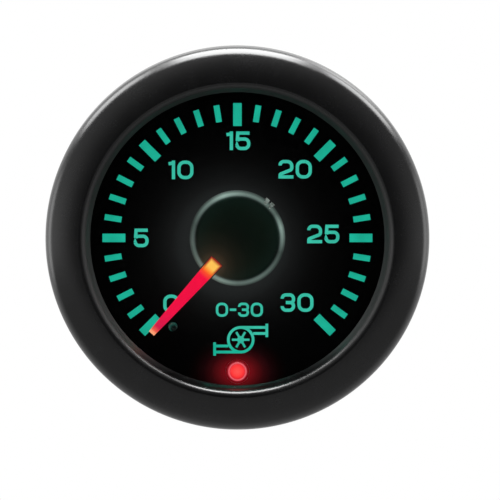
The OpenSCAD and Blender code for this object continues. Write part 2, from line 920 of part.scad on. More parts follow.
module stator_core() {
    reach = coil_x + leg_width / 2;
    color("#8d9296") gauge_axes() stator_slab() difference() {
        union() {
            translate(rotor_at) circle(stator_ring_r);
            translate([-reach, rotor_at[1] - stator_bar / 2]) square([2 * reach, stator_bar]);
            for (side = [-1, 1]) translate([side * coil_x - leg_width / 2, leg_end_y])
                square([leg_width, rotor_at[1] - leg_end_y]);
        }
        translate(rotor_at) {
            circle(stator_bore_r);
            for (a = [90, 210, 330]) rotate(a) translate([0, -stator_slot / 2])
                square([stator_ring_r - stator_bridge, stator_slot]);
        }
    }
}

module stator_yoke() {
    reach = coil_x + leg_width / 2;
    color("#8d9296") gauge_axes() stator_slab()
        translate([-reach, leg_end_y - stator_bar]) square([2 * reach, stator_bar]);
}

// A box round a stator leg, between two heights along it
module leg_box(low, high, half_x, half_z) {
    translate([-half_x, low, magnet_middle - half_z])
        cube([2 * half_x, high - low, 2 * half_z]);
}

module leg_tunnel() {
    leg_box(coil_low - overrun, coil_high + overrun,
        leg_width / 2 + pivot_gap, stator_thickness / 2 + pivot_gap);
}

module coil_bobbins() {
    core_x = leg_width / 2 + pivot_gap + bobbin_wall;
    core_z = stator_thickness / 2 + pivot_gap + bobbin_wall;
    color("#d8d4c6") gauge_axes() difference() {
        both_sides(coil_x) difference() {
            union() {
                leg_box(coil_low, coil_high, core_x, core_z);
                leg_box(coil_low, coil_low + bobbin_flange_thickness,
                    bobbin_flange_x, bobbin_flange_z);
                leg_box(coil_high - bobbin_flange_thickness, coil_high,
                    bobbin_flange_x, bobbin_flange_z);
            }
            leg_tunnel();
        }
        motor_pin_places()
            block(magnet_middle + bobbin_flange_z - motor_pin_depth, plate_rear,
                motor_pin + 2 * press_gap, motor_pin + 2 * press_gap);
    }
}

module coil_windings() {
    core_x = leg_width / 2 + pivot_gap + bobbin_wall + press_gap;
    core_z = stator_thickness / 2 + pivot_gap + bobbin_wall + press_gap;
    low = coil_low + bobbin_flange_thickness;
    high = coil_high - bobbin_flange_thickness;
    color("#a5562a") gauge_axes() both_sides(coil_x) difference() {
        leg_box(low, high, bobbin_flange_x - winding_inset, bobbin_flange_z - winding_inset);
        leg_box(low - overrun, high + overrun, core_x, core_z);
    }
}

module motor_pins() {
    color("#c9b26a") gauge_axes() motor_pin_places()
        block(magnet_middle + bobbin_flange_z - motor_pin_depth, display_front + link_tail,
            motor_pin, motor_pin);
}

module idler_axle() {
    color("#b9bdc1") gauge_axes() at(idler_at)
        disc(motor_cover_front - pivot_depth, plate_rear + pivot_depth, idler_axle_r);
}

module gear_slab(teeth, phase, low, high) {
    translate([0, 0, low]) linear_extrude(high - low) polygon(gear_points(teeth, phase));
}

module output_shaft() {
    color("#b9bdc1") gauge_axes()
        disc(motor_cover_front - pivot_depth + end_float, shaft_top, shaft_r);
}

module output_gear() {
    color("#e6e2d3") gauge_axes() difference() {
        union() {
            gear_slab(output_teeth, 0, output_gear_rear, output_gear_front);
            disc(output_gear_rear - end_float, plate_rear - end_float, output_hub_r);
        }
        drill(output_gear_rear, plate_rear, shaft_r + press_gap);
    }
}

module idler_gear() {
    color("#e6e2d3") gauge_axes() at(idler_at) difference() {
        union() {
            gear_slab(idler_teeth, 0, idler_rear, idler_front);
            gear_slab(idler_pinion_teeth, idler_pinion_phase, idler_front,
                output_gear_front + pinion_margin);
            disc(idler_rear - idler_hub_height, idler_rear, idler_hub_r);
        }
        drill(idler_rear - idler_hub_height, plate_rear, idler_bore_r);
    }
}

module rotor_pinion() {
    color("#d9d5c5") gauge_axes() at(rotor_at) {
        gear_slab(rotor_teeth, rotor_phase, idler_rear - pinion_margin,
            idler_front + pinion_margin);
        disc(magnet_rear - cover_gap + 2 * end_float, plate_rear - 2 * end_float,
            rotor_arbor_r);
        disc(motor_cover_front - pivot_depth + end_float,
            plate_rear + pivot_depth - end_float, rotor_pivot_r);
    }
}

module rotor_magnet() {
    color("#4a4d52") gauge_axes() at(rotor_at)
        ring(magnet_rear, magnet_front, magnet_r, rotor_arbor_r + press_gap);
}

/* Pointer */

// The pointer's axes: x runs along the resting pointer, from the shaft to the tip
module pointer_axes() { rotate(-90 - rest_angle) children(); }

module arm_outline(inset) {
    polygon([
        [arm_start_r + inset, -pointer_root_width / 2 + inset],
        [arm_neck_r, -pointer_neck_width / 2 + inset],
        [arm_tip_r - inset, -pointer_tip_width / 2 + inset],
        [arm_tip_r - inset, pointer_tip_width / 2 - inset],
        [arm_neck_r, pointer_neck_width / 2 - inset],
        [arm_start_r + inset, pointer_root_width / 2 - inset]
    ]);
}

module pointer_arm() {
    color("#f0102c") gauge_axes() pointer_axes() difference() {
        union() {
            disc(hub_low, hub_top, hub_r);
            translate([0, -pointer_neck_width / 2, hub_low])
                cube([arm_foot_end_r, pointer_neck_width, hub_thickness]);
            translate([0, 0, hub_top]) hull() {
                linear_extrude(arm_thickness - arm_bevel) arm_outline(0);
                linear_extrude(arm_thickness) arm_outline(arm_bevel);
            }
        }
        drill(hub_low, hub_top, shaft_r + press_gap);
    }
}

module pointer_cap() {
    slot = pointer_root_width + 2 * slot_gap;
    color("#0d0f0f") gauge_axes() pointer_axes() difference() {
        union() {
            turned() polygon([
                [0, cap_low],
                [cap_r, cap_low],
                [cap_r, cap_top - cap_bevel_height],
                [cap_r - cap_bevel_width, cap_top],
                [0, cap_top]
            ]);
            difference() {
                translate([-cap_r - nub_reach, -nub_width / 2, cap_low])
                    cube([cap_r, nub_width, nub_height]);
                translate([-cap_r - nub_reach - overrun, -nub_notch / 2, cap_low - overrun])
                    cube([nub_reach + overrun, nub_notch, nub_height + 2 * overrun]);
            }
        }
        disc(cap_low - overrun, hub_top, hub_r + slot_gap);
        translate([0, -slot / 2, cap_low - overrun])
            cube([cap_r + overrun, slot, hub_top - cap_low + overrun]);
        translate([arm_start_r - slot_gap, -slot / 2, cap_low - overrun])
            cube([cap_r, slot, cap_height + 2 * overrun]);
        disc(cap_low - overrun, cap_top - cap_roof, shaft_r + press_gap);
    }
}

/* Link between the boards, and the main board */

module link_header() {
    color("#17181a") gauge_axes() translate([0, link_y, 0]) difference() {
        for (low = [display_rear - link_body_z, main_front])
            block(low, low + link_body_z, link_count * link_pitch, link_body_y);
        in_row(link_count, link_pitch)
            block(main_rear, display_front, link_pin + 2 * press_gap, link_pin + 2 * press_gap);
    }
}

module link_pins() {
    color("#c9b26a") gauge_axes() translate([0, link_y, 0]) in_row(link_count, link_pitch)
        block(main_rear - solder_reach, display_front + link_tail, link_pin, link_pin);
}

module post_places() { four_corners(post_place, post_place) children(); }

module main_board() {
    color("#1f5a33") gauge_axes() difference() {
        disc(main_rear, main_front, board_r);
        on_circle(boss_circle_r, boss_angles) drill(main_rear, main_front, boss_r + notch_gap);
        post_places() drill(main_rear, main_front, board_screw_r + loose_gap);
        translate([0, link_y, 0]) in_row(link_count, link_pitch)
            drill(main_rear, main_front, link_hole_r);
        translate([0, power_y, 0]) in_row(power_count, pin_pitch)
            drill(main_rear, main_front, pin_hole_r);
        translate([0, sensor_y, 0]) in_row(sensor_count, pin_pitch)
            drill(main_rear, main_front, pin_hole_r);
    }
}

module board_screws() {
    color("#b4b8bb") gauge_axes() translate([0, 0, main_front]) post_places()
        pan_screw(board_screw_head_r, board_screw_head, board_screw_r, board_screw_length);
}

module processor_chip() {
    color("#1b1d20") gauge_axes() at(processor_at) {
        block(main_front + lead_size, main_front + processor_height,
            processor_size - 2 * lead_reach, processor_size - 2 * lead_reach);
        for (a = [0, 90]) rotate(a) in_row(lead_count, lead_pitch)
            block(main_front, main_front + lead_size, lead_size, processor_size);
        block(main_front, main_front + lead_size, processor_pad, processor_pad);
    }
}

module driver_chip() {
    color("#1b1d20") gauge_axes() at(driver_at) {
        block(main_front, main_front + driver_size[2], driver_size[0], driver_size[1]);
        in_row(driver_lead_count, driver_lead_pitch)
            block(main_front, main_front + lead_size, lead_size,
                driver_size[1] + 2 * lead_reach);
    }
}

module capacitors() {
    color("#8e9499") gauge_axes() for (place = capacitor_at) at(place) {
        block(main_front, main_front + capacitor_base, capacitor_base_size,
            capacitor_base_size);
        disc(main_front, main_front + capacitor_height, capacitor_r);
    }
}

module chip_resistors() {
    color("#2a2a2c") gauge_axes() translate([0, chip_row_y, 0])
        in_row(chip_row_count, chip_row_pitch)
            block(main_front, main_front + chip_size[2], chip_size[0], chip_size[1]);
}

/* Connectors */

function socket_width(count) = (count - 1) * pin_pitch + 2 * socket_side;

module socket(count, y) {
    width = socket_width(count);
    translate([0, y, 0]) difference() {
        block(socket_mouth, main_rear, width, socket_height);
        block(socket_mouth - overrun, main_rear - socket_floor,
            width - 2 * socket_wall, socket_height - 2 * socket_wall);
        translate([0, sign(y) * socket_height / 2, 0])
            block(socket_mouth - overrun, socket_mouth + latch_depth,
                latch_width, latch_cut);
        in_row(count, pin_pitch)
            block(socket_mouth, main_rear + overrun, pin_size + 2 * press_gap,
                pin_size + 2 * press_gap);
    }
}

module socket_pins(count, y) {
    translate([0, y, 0]) in_row(count, pin_pitch)
        block(socket_mouth + pin_recess, main_front + solder_reach, pin_size, pin_size);
}

module power_socket() { color("#e8e4d8") gauge_axes() socket(power_count, power_y); }

module power_pins() { color("#c9b26a") gauge_axes() socket_pins(power_count, power_y); }

module sensor_socket() { color("#e8e4d8") gauge_axes() socket(sensor_count, sensor_y); }

module sensor_pins() { color("#c9b26a") gauge_axes() socket_pins(sensor_count, sensor_y); }

/* Case */

module case_barrel() {
    color("#17191b") gauge_axes() difference() {
        union() {
            turned() polygon([
                [barrel_r, barrel_rear],
                [barrel_r, 0],
                [neck_r, 0],
                [neck_r, ridge_low],
                [neck_r + ridge_height, ridge_low + ridge_height],
                [neck_r + ridge_height, ridge_high - ridge_height],
                [neck_r, ridge_high],
                [neck_r, rim_top],
                [rim_bore_r, rim_top],
                [rim_bore_r, ledge_z],
                [case_bore_r, ledge_z],
                [case_bore_r, barrel_rear]
            ]);
            on_circle(boss_circle_r, boss_angles) disc(plug_front, display_rear, boss_r);
        }
        on_circle(boss_circle_r, boss_angles)
            disc(plug_front - overrun, cover_rear + cover_screw_length + overrun,
                cover_screw_r + pivot_gap);
    }
}

module cover_gasket() {
    color("#3a3a3a") gauge_axes() ring(cover_front, barrel_rear, cover_r, case_bore_r);
}

module socket_hole(count, y) {
    translate([0, y, 0])
        block(cover_rear - overrun, plug_front + overrun,
            socket_width(count) + 2 * loose_gap, socket_height + 2 * loose_gap);
}

module rear_cover() {
    color("#17191b") gauge_axes() difference() {
        union() {
            disc(cover_rear, cover_front, cover_r);
            ring(cover_front, plug_front, plug_r, plug_bore_r);
            post_places() disc(cover_front, main_rear, post_r);
        }
        on_circle(boss_circle_r, boss_angles)
            drill(cover_rear, plug_front, cover_screw_r + loose_gap);
        post_places() disc(cover_front, main_rear + overrun, board_screw_r + pivot_gap);
        both_sides(stud_x) drill(cover_rear, cover_front, stud_r + press_gap);
        socket_hole(power_count, power_y);
        socket_hole(sensor_count, sensor_y);
    }
}

module cover_screws() {
    color("#2a2c2e") gauge_axes() on_circle(boss_circle_r, boss_angles)
        translate([0, 0, cover_rear]) rotate([180, 0, 0])
            pan_screw(cover_screw_head_r, cover_screw_head, cover_screw_r, cover_screw_length);
}

/* Mounting clamp */

module mounting_studs() {
    stud_end = cover_rear - stud_reach;
    color("#c2c6ca") gauge_axes() both_sides(stud_x) {
        translate([0, 0, cover_front]) cylinder(h = stud_head, r = stud_head_r, $fn = 6);
        turned() polygon([
            [0, stud_end],
            [stud_r - stud_chamfer, stud_end],
            [stud_r, stud_end + stud_chamfer],
            [stud_r, cover_front],
            [0, cover_front]
        ]);
    }
}

// Section of the strap across the gauge, x right and height towards the panel
module strap_section() {
    outer_x = leg_x + strap_thickness;
    difference() {
        union() {
            round_rectangle(-outer_x, strap_rear, outer_x,
                strap_rear + 2 * (bend_radius + strap_thickness) + overrun,
                bend_radius + strap_thickness);
            translate([-outer_x, strap_rear + bend_radius + strap_thickness])
                square([2 * outer_x, leg_length - bend_radius - strap_thickness]);
        }
        round_rectangle(-leg_x, strap_front, leg_x, strap_rear + leg_length, bend_radius);
        translate([-leg_x, strap_rear + leg_length - bend_radius - overrun])
            square([2 * leg_x, bend_radius + 2 * overrun]);
    }
}

module clamp_strap() {
    color("#9fa4a8") gauge_axes() difference() {
        translate([0, strap_width / 2, 0]) rotate([90, 0, 0])
            linear_extrude(strap_width) strap_section();
        both_sides(stud_x) drill(strap_rear, strap_front, stud_r + strap_hole_gap);
    }
}

module stud_washers() {
    color("#b4b8bb") gauge_axes() both_sides(stud_x)
        ring(nut_front, strap_rear, washer_r, stud_r + strap_hole_gap);
}

module thumb_nut(side) {
    nut_rear = nut_front - nut_height;
    nut_r = nut_diameter / 2;
    color("#8f9498") gauge_axes() translate([side * stud_x, 0, 0]) difference() {
        turned() polygon([
            [stud_r + nut_gap, nut_rear],
            [nut_r - nut_chamfer, nut_rear],
            [nut_r, nut_rear + nut_chamfer],
            [nut_r, nut_front - nut_collar - nut_chamfer],
            [nut_r - nut_chamfer, nut_front - nut_collar],
            [nut_collar_r, nut_front - nut_collar],
            [nut_collar_r, nut_front],
            [stud_r + nut_gap, nut_front]
        ]);
        for (i = [0 : knurl_count - 1]) rotate(i * 360 / knurl_count)
            translate([nut_r + knurl_r - knurl_depth, 0, 0])
                drill(nut_rear, nut_front - nut_collar - nut_chamfer, knurl_r);
    }
}

module thumb_nut_left() { thumb_nut(-1); }

module thumb_nut_right() { thumb_nut(1); }

bezel();
lens_seal();
lens();
spacer_ring();
dial_face();
dial_markings();
light_guide();
stop_pin();
warning_lamp();
lamp_leads();
backlight_lamps();
display_board();
motor_housing();
motor_cover();
stator_core();
stator_yoke();
coil_bobbins();
coil_windings();
motor_pins();
idler_axle();
link_header();
link_pins();
main_board();
processor_chip();
driver_chip();
capacitors();
chip_resistors();
board_screws();
power_socket();
power_pins();
sensor_socket();
sensor_pins();
case_barrel();
cover_gasket();
rear_cover();
cover_screws();
mounting_studs();
pointer_arm();
pointer_cap();
output_shaft();
output_gear();
idler_gear();
rotor_magnet();
rotor_pinion();
clamp_strap();
stud_washers();
thumb_nut_left();
thumb_nut_right();
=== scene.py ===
"""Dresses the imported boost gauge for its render: camera, light, materials and the finer pieces."""

import math

import bmesh
import bpy
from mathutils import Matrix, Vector


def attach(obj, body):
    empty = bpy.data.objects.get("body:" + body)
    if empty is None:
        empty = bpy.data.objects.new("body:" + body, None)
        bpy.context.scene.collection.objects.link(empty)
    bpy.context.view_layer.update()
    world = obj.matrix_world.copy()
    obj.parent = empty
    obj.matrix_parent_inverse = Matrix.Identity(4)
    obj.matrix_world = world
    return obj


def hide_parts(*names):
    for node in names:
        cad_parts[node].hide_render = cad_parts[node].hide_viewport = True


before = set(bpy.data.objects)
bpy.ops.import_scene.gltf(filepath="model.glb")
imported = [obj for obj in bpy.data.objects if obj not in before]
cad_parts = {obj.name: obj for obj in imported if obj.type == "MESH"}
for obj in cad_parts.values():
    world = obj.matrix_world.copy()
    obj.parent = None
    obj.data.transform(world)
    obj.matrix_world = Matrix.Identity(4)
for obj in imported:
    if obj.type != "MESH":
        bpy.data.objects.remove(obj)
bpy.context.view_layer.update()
MM = 0.001
TO_MM = 1000.0
WELD = 1e-7

# Camera: distances in metres, the sensor's width in millimetres
CAMERA_DISTANCE = 1.0
CAMERA_ELEVATION = math.radians(4.5)
CAMERA_RIGHT = 1.917 * MM
CAMERA_DOWN = 1.932 * MM
FRAME_WIDTH = 76.37 * MM
SENSOR = 36.0

# Sizes as the solids have them, in millimetres: heights count from the bezel's seat to the driver
BEZEL_R = 29.25
BEZEL_BORE_R = 26.45
BEZEL_HEIGHT = 8.0
REAR_CHAMFER = 0.4
SHOULDER_Z = 5.9
VIEW_R = 22.4
LIP_R = 22.95
CROWN_R = 11.5
EDGE_R = 2.2
GROOVE_LOW = 2.95
GROOVE_HIGH = 4.25
GROOVE_DEPTH = 0.3
STACK_R = 25.1
LENS_LOW = 4.4
LENS_TOP = 5.6
DIAL_Z = 2.3
LAMP_Y = -20.5
LAMP_R = 1.6
REST_ANGLE = 42.0
HUB_LOW = 2.75
HUB_TOP = 3.1
HUB_R = 3.4
ARM_TOP = 3.9
ARM_START = 4.7
ARM_NECK = 16.8
ARM_TIP = 19.6
ARM_FOOT_END = 9.0
ROOT_WIDTH = 2.2
TIP_WIDTH = 1.0
SHAFT_R = 0.76
STOP_ANGLE = 35.94
STOP_R = 0.65
STOP_LOW = 0.5
STOP_TOP = 3.95
LAMP_HOLE_R = 1.87
FILM_LOW = 1.7
SHAFT_HOLE_R = 1.6
STOP_HOLE_R = 0.7

# Sizes of the finer pieces: the lip's crest is rounder than the solid's, the pointer's neck slimmer
CREST_R = 1.1
LIP_FOOT_Y = -20.5
LIP_FOOT_FADE = 7.0
LIP_MATT_WIDTH = 0.7
LIP_MATT_FULL = 0.35
LENS_EDGE = 0.15
NECK_WIDTH = 1.3
FOOT_START = HUB_R - 0.4
FOOT_DROP = 0.01
POINTER_TURN = math.radians(-90.0 - REST_ANGLE)
ARM_BEVEL = [(0.0, ARM_TOP - 0.25), (0.05, ARM_TOP - 0.12), (0.13, ARM_TOP - 0.04), (0.25, ARM_TOP)]
INK_LOW = 2.2
INK_TOP = 2.32
STOP_ROUND = 0.3
STOP_SHOULDER = 0.35
NUB_PLACES = (-0.45, 0.45)
NUB_HALF_WIDTH = 0.27
NUB_INNER_R = 6.6
NUB_OUTER_R = 7.59
NUB_LEVELS = [(0.0, 2.9), (0.0, 3.85), (0.1, 4.0)]
LAMP_SECTION = [
    (0.0, -1.3), (1.9, -1.3), (1.9, -0.6), (1.83, -0.5), (1.83, 1.85), (LAMP_R, 1.9), (LAMP_R, 2.05),
    (1.5, 2.2), (1.38, 2.26), (1.28, 2.22), (1.18, 2.16), (1.05, 2.22), (0.8, 2.34), (0.4, 2.42),
    (0.0, 2.45)]

# Where glows begin and are full, and their middles, in millimetres
ROOT_GLOW = (7.4, 6.2)
ROOT_RIM_END = (5.25, 4.75)
ROOT_RIM_SIDE = (0.62, 1.02)
CAP_RING = (5.9, 6.3)
CAP_AMBER_R = 5.6
HUB_GLOW_X = -0.8
HUB_GLOW_Y = -0.8
LAMP_GLOW_FLATTEN = 1.35

# Legends on the dial, in millimetres
SCALE_SWEEP = 270.0
SCALE_STEPS = 30
STEPS_PER_NUMBER = 5
LONG_TICK_END = 20.6
LONG_TICK_LENGTH = 3.5
LONG_TICK_WIDTH = 1.3
SHORT_TICK_END = 20.5
SHORT_TICK_LENGTH = 2.6
SHORT_TICK_WIDTH = 0.9
DIGIT_HEIGHT = 2.85
DIGIT_STROKE = 0.5
DIGIT_GAP = 0.34
DIGIT_WIDTHS = {"0": 2.46, "1": 1.0, "2": 2.28, "3": 2.22, "5": 2.3, "-": 1.3}
NUMBERS = [("0", -10.1, -10.1), ("5", -14.7, 0.0), ("10", -8.6, 10.4), ("15", 0.15, 14.85),
           ("20", 8.8, 10.5), ("25", 13.1, 0.6), ("30", 9.1, -9.9)]
RANGE_PLACE = (0.3, -11.0)
RANGE_SCALE = 0.76
SIGN_PLACE = (0.5, -15.6)
SIGN_R = 2.1
SIGN_STROKE = 0.42
SIGN_OUTLET = 1.35
SIGN_LENGTH = 4.2
SIGN_FLANGE = 0.35
SIGN_HUB_R = 0.55
BLADE_WIDTH = 0.34
BLADE_END_R = 1.35
BLADE_COUNT = 6

# Studs, in millimetres
STUD_X = 15.5
STUD_R = 2.0
STUD_HEAD_R = 3.4
STUD_HEAD_Z = -29.3
COVER_FRONT = -30.5
STUD_END = -49.5
THREAD_PITCH = 0.7
THREAD_DEPTH = 0.38
THREAD_SIDES = 24
THREAD_ROWS = 10
THREAD_RUN_IN = 2.5
THREAD_FLANK = 1.25
STUD_TAPER = 0.5
STUD_HEAD_BEVEL = (0.25, 0.2)

# Lamps: name, place and size in metres, radiance, whether it lights and whether it shows in gloss
LAMPS = [
    ("card_top", (0.0, 0.03, 0.62), (0.47, 0.6), 8.6, False, True),
    ("card_high_left", (-0.43, 0.03, 0.45), (0.36, 0.3), 4.6, False, True),
    ("card_high_right", (0.43, 0.03, 0.45), (0.36, 0.3), 5.2, False, True),
    ("card_left", (-0.62, -0.02, 0.0), (0.3, 0.36), 1.4, False, True),
    ("card_right", (0.62, -0.02, 0.0), (0.3, 0.36), 1.2, False, True),
    ("key_front", (-0.5, -0.75, 0.75), (0.4, 0.4), 2.2, True, False),
    ("key_back", (0.5, 0.75, 0.7), (0.4, 0.4), 2.6, True, True)]

# Floor, in metres
FLOOR_HALF = 0.9
FLOOR_Z = -0.21
FLOOR_FADE = (0.32, 0.8)


# Helpers for shapes

def place(x, y, z):
    """A point of the dial's axes (x right, y up, z to the driver), in the row frame."""
    return Vector((x * MM, -z * MM, y * MM))


def add_mesh(name, points, faces, body, smooth_angle=30):
    mesh = bpy.data.meshes.new(name)
    mesh.from_pydata([tuple(p) for p in points], [], faces)
    obj = bpy.data.objects.new(name, mesh)
    bpy.context.scene.collection.objects.link(obj)
    bm = bmesh.new()
    bm.from_mesh(mesh)
    bmesh.ops.remove_doubles(bm, verts=bm.verts, dist=WELD)
    bmesh.ops.recalc_face_normals(bm, faces=bm.faces)
    bm.to_mesh(mesh)
    bm.free()
    mesh.shade_smooth()
    mesh.set_sharp_from_angle(angle=math.radians(smooth_angle))
    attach(obj, body)
    return obj


def lathe_parts(section, segments, centre=(0.0, 0.0)):
    """Points and faces of a closed section of (radius, height) turned about an axis of the dial."""
    points = []
    for k in range(segments):
        angle = 2 * math.pi * k / segments
        for r, z in section:
            points.append(place(centre[0] + r * math.cos(angle), centre[1] + r * math.sin(angle), z))
    count = len(section)
    faces = []
    for k in range(segments):
        here = k * count
        there = (k + 1) % segments * count
        for i in range(count):
            j = (i + 1) % count
            faces.append((here + i, here + j, there + j, there + i))
    return points, faces


def lathe(name, section, body, segments, centre=(0.0, 0.0), smooth_angle=30):
    points, faces = lathe_parts(section, segments, centre)
    return add_mesh(name, points, faces, body, smooth_angle)


def stack_faces(count, levels, start=0):
    """Both ends and the walls of a stack of rings that have the same number of points."""
    top = start + (levels - 1) * count
    faces = [tuple(range(start + count - 1, start - 1, -1)), tuple(range(top, top + count))]
    for low in range(start, top, count):
        for i in range(count):
            j = (i + 1) % count
            faces.append((low + i, low + j, low + count + j, low + count + i))
    return faces


def arc(centre, radius, start, end, steps):
    """Points of an arc; angles run in degrees from the height axis towards larger radii."""
    points = []
    for i in range(steps + 1):
        angle = math.radians(start + (end - start) * i / steps)
        points.append((centre[0] + radius * math.sin(angle), centre[1] + radius * math.cos(angle)))
    return points


# Helpers for materials

def new_material(name):
    mat = bpy.data.materials.new(name)
    mat.use_nodes = True
    tree = mat.node_tree
    return mat, tree, tree.nodes["Principled BSDF"]


def link(tree, a, b):
    tree.links.new(a, b)


def axes(tree, kind="Object"):
    """X, Y and Z of one kind of texture coordinates, in metres for an object's own."""
    coords = tree.nodes.new("ShaderNodeTexCoord")
    split = tree.nodes.new("ShaderNodeSeparateXYZ")
    link(tree, coords.outputs[kind], split.inputs["Vector"])
    return split.outputs


def object_coords(tree, scale=(TO_MM, TO_MM, TO_MM)):
    """Object coordinates in millimetres, stretched by scale."""
    coords = tree.nodes.new("ShaderNodeTexCoord")
    mapping = tree.nodes.new("ShaderNodeMapping")
    mapping.inputs["Scale"].default_value = scale
    link(tree, coords.outputs["Object"], mapping.inputs["Vector"])
    return mapping.outputs["Vector"]


def noise(tree, vector, scale, detail=3.0, rough=0.5):
    node = tree.nodes.new("ShaderNodeTexNoise")
    node.inputs["Scale"].default_value = scale
    node.inputs["Detail"].default_value = detail
    node.inputs["Roughness"].default_value = rough
    link(tree, vector, node.inputs["Vector"])
    return node.outputs["Fac"]


def ramp(tree, factor, stops):
    """A colour ramp from (place, colour) stops."""
    node = tree.nodes.new("ShaderNodeValToRGB")
    elements = node.color_ramp.elements
    while len(elements) < len(stops):
        elements.new(0.5)
    for element, (position, colour) in zip(elements, stops):
        element.position = position
        element.color = (colour[0], colour[1], colour[2], 1.0)
    link(tree, factor, node.inputs["Fac"])
    return node.outputs["Color"]


def grey(value):
    return (value, value, value)


def spread(tree, factor, low, high):
    """Maps 0..1 onto low..high."""
    node = tree.nodes.new("ShaderNodeMapRange")
    node.inputs["To Min"].default_value = low
    node.inputs["To Max"].default_value = high
    link(tree, factor, node.inputs["Value"])
    return node.outputs["Result"]


def between(tree, value, start, end):
    """Maps start..end onto 0..1, clamped."""
    node = tree.nodes.new("ShaderNodeMapRange")
    node.inputs["From Min"].default_value = start
    node.inputs["From Max"].default_value = end
    link(tree, value, node.inputs["Value"])
    return node.outputs["Result"]


def math_node(tree, kind, a, b=None):
    node = tree.nodes.new("ShaderNodeMath")
    node.operation = kind
    for socket, value in zip(node.inputs, (a, b)):
        if value is None:
            continue
        if isinstance(value, (int, float)):
            socket.default_value = value
        else:
            link(tree, value, socket)
    return node.outputs["Value"]


def weighted(tree, a, share_a, b, share_b):
    """The sum of two values, each times its share."""
    return math_node(tree, "ADD", math_node(tree, "MULTIPLY", a, share_a),
                     math_node(tree, "MULTIPLY", b, share_b))


def mixed(tree, factor, a, b, blend="MIX"):
    """Two colours mixed; each may be a socket or a plain colour."""
    node = tree.nodes.new("ShaderNodeMix")
    node.data_type = "RGBA"
    node.blend_type = blend
    for name, value in (("Factor", factor), ("A", a), ("B", b)):
        if isinstance(value, bpy.types.NodeSocket):
            link(tree, value, node.inputs[name])
        elif name == "Factor":
            node.inputs[name].default_value = value
        else:
            node.inputs[name].default_value = (value[0], value[1], value[2], 1.0)
    return node.outputs["Result"]


def shine(tree, shader, colour, strength=1.0):
    link(tree, colour, shader.inputs["Emission Color"])
    shader.inputs["Emission Strength"].default_value = strength


def bump(tree, shader, height, strength, distance):
    node = tree.nodes.new("ShaderNodeBump")
    node.inputs["Strength"].default_value = strength
    node.inputs["Distance"].default_value = distance * MM
    link(tree, height, node.inputs["Height"])
    link(tree, node.outputs["Normal"], shader.inputs["Normal"])


def radius_from(tree, x=0.0, y=0.0, flatten=1.0):
    """Distance in millimetres from a point of the dial, across the dial."""
    split = axes(tree)
    across = math_node(tree, "MULTIPLY_ADD", split["X"], TO_MM)
    across.node.inputs[2].default_value = -x
    up = math_node(tree, "MULTIPLY_ADD", split["Z"], TO_MM * flatten)
    up.node.inputs[2].default_value = -y * flatten
    square = math_node(tree, "ADD", math_node(tree, "MULTIPLY", across, across),
                       math_node(tree, "MULTIPLY", up, up))
    return math_node(tree, "SQRT", square)


def angle_of(tree):
    """Angle round the dial's axis in radians, 0 at the top and growing clockwise."""
    split = axes(tree)
    return math_node(tree, "ARCTAN2", split["X"], split["Z"])


def srgb(r, g, b):
    """Linear colour of an sRGB colour written in 0..255."""
    def linear(value):
        value = value / 255
        return value / 12.92 if value <= 0.04045 else ((value + 0.055) / 1.055) ** 2.4
    return (linear(r), linear(g), linear(b))


def moulded(name, low, high, rough, grain=6.0, depth=0.02, specular=0.5, mottle=0.35):
    """A moulded or painted surface: two shades, uneven gloss and a fine grain."""
    mat, tree, shader = new_material(name)
    coords = object_coords(tree)
    cloud = noise(tree, coords, mottle, detail=4.0, rough=0.6)
    colour = ramp(tree, cloud, [(0.35, low), (0.65, high)])
    link(tree, colour, shader.inputs["Base Color"])
    fine = noise(tree, coords, grain, detail=3.0, rough=0.55)
    link(tree, spread(tree, fine, rough[0], rough[1]), shader.inputs["Roughness"])
    shader.inputs["Specular IOR Level"].default_value = specular
    bump(tree, shader, fine, 0.5, depth)
    return mat


def metal(name, low, high, rough, stretch=(TO_MM, TO_MM, 40.0), scale=4.0, depth=0.01):
    """A plated or drawn metal: fine lines along one axis over a cloudy tone."""
    mat, tree, shader = new_material(name)
    cloud = noise(tree, object_coords(tree), 0.6, detail=4.0, rough=0.6)
    lines = noise(tree, object_coords(tree, stretch), scale, detail=4.0, rough=0.7)
    tone = weighted(tree, cloud, 0.6, lines, 0.4)
    link(tree, ramp(tree, tone, [(0.35, low), (0.65, high)]), shader.inputs["Base Color"])
    link(tree, spread(tree, lines, rough[0], rough[1]), shader.inputs["Roughness"])
    shader.inputs["Metallic"].default_value = 1.0
    bump(tree, shader, lines, 0.4, depth)
    return mat


def dress(material, *names):
    """Gives solids that keep their shape a material."""
    for name in names:
        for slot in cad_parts[name].material_slots:
            slot.material = material


def give(obj, material):
    obj.data.materials.clear()
    obj.data.materials.append(material)


# Camera, light and stage

def make_camera():
    data = bpy.data.cameras.new("camera")
    data.sensor_width = SENSOR
    data.lens = SENSOR * CAMERA_DISTANCE / FRAME_WIDTH
    data.clip_start = 0.01
    data.clip_end = 20.0
    data.dof.use_dof = False
    camera = bpy.data.objects.new("camera", data)
    bpy.context.scene.collection.objects.link(camera)
    back = Vector((0.0, -math.cos(CAMERA_ELEVATION), math.sin(CAMERA_ELEVATION)))
    camera.rotation_euler = (math.pi / 2 - CAMERA_ELEVATION, 0.0, 0.0)
    up = Vector((0.0, math.sin(CAMERA_ELEVATION), math.cos(CAMERA_ELEVATION)))
    target = place(0.0, 0.0, DIAL_Z)
    shift = Vector((CAMERA_RIGHT, 0.0, 0.0)) - up * CAMERA_DOWN
    camera.location = target + back * CAMERA_DISTANCE + shift
    bpy.context.scene.camera = camera


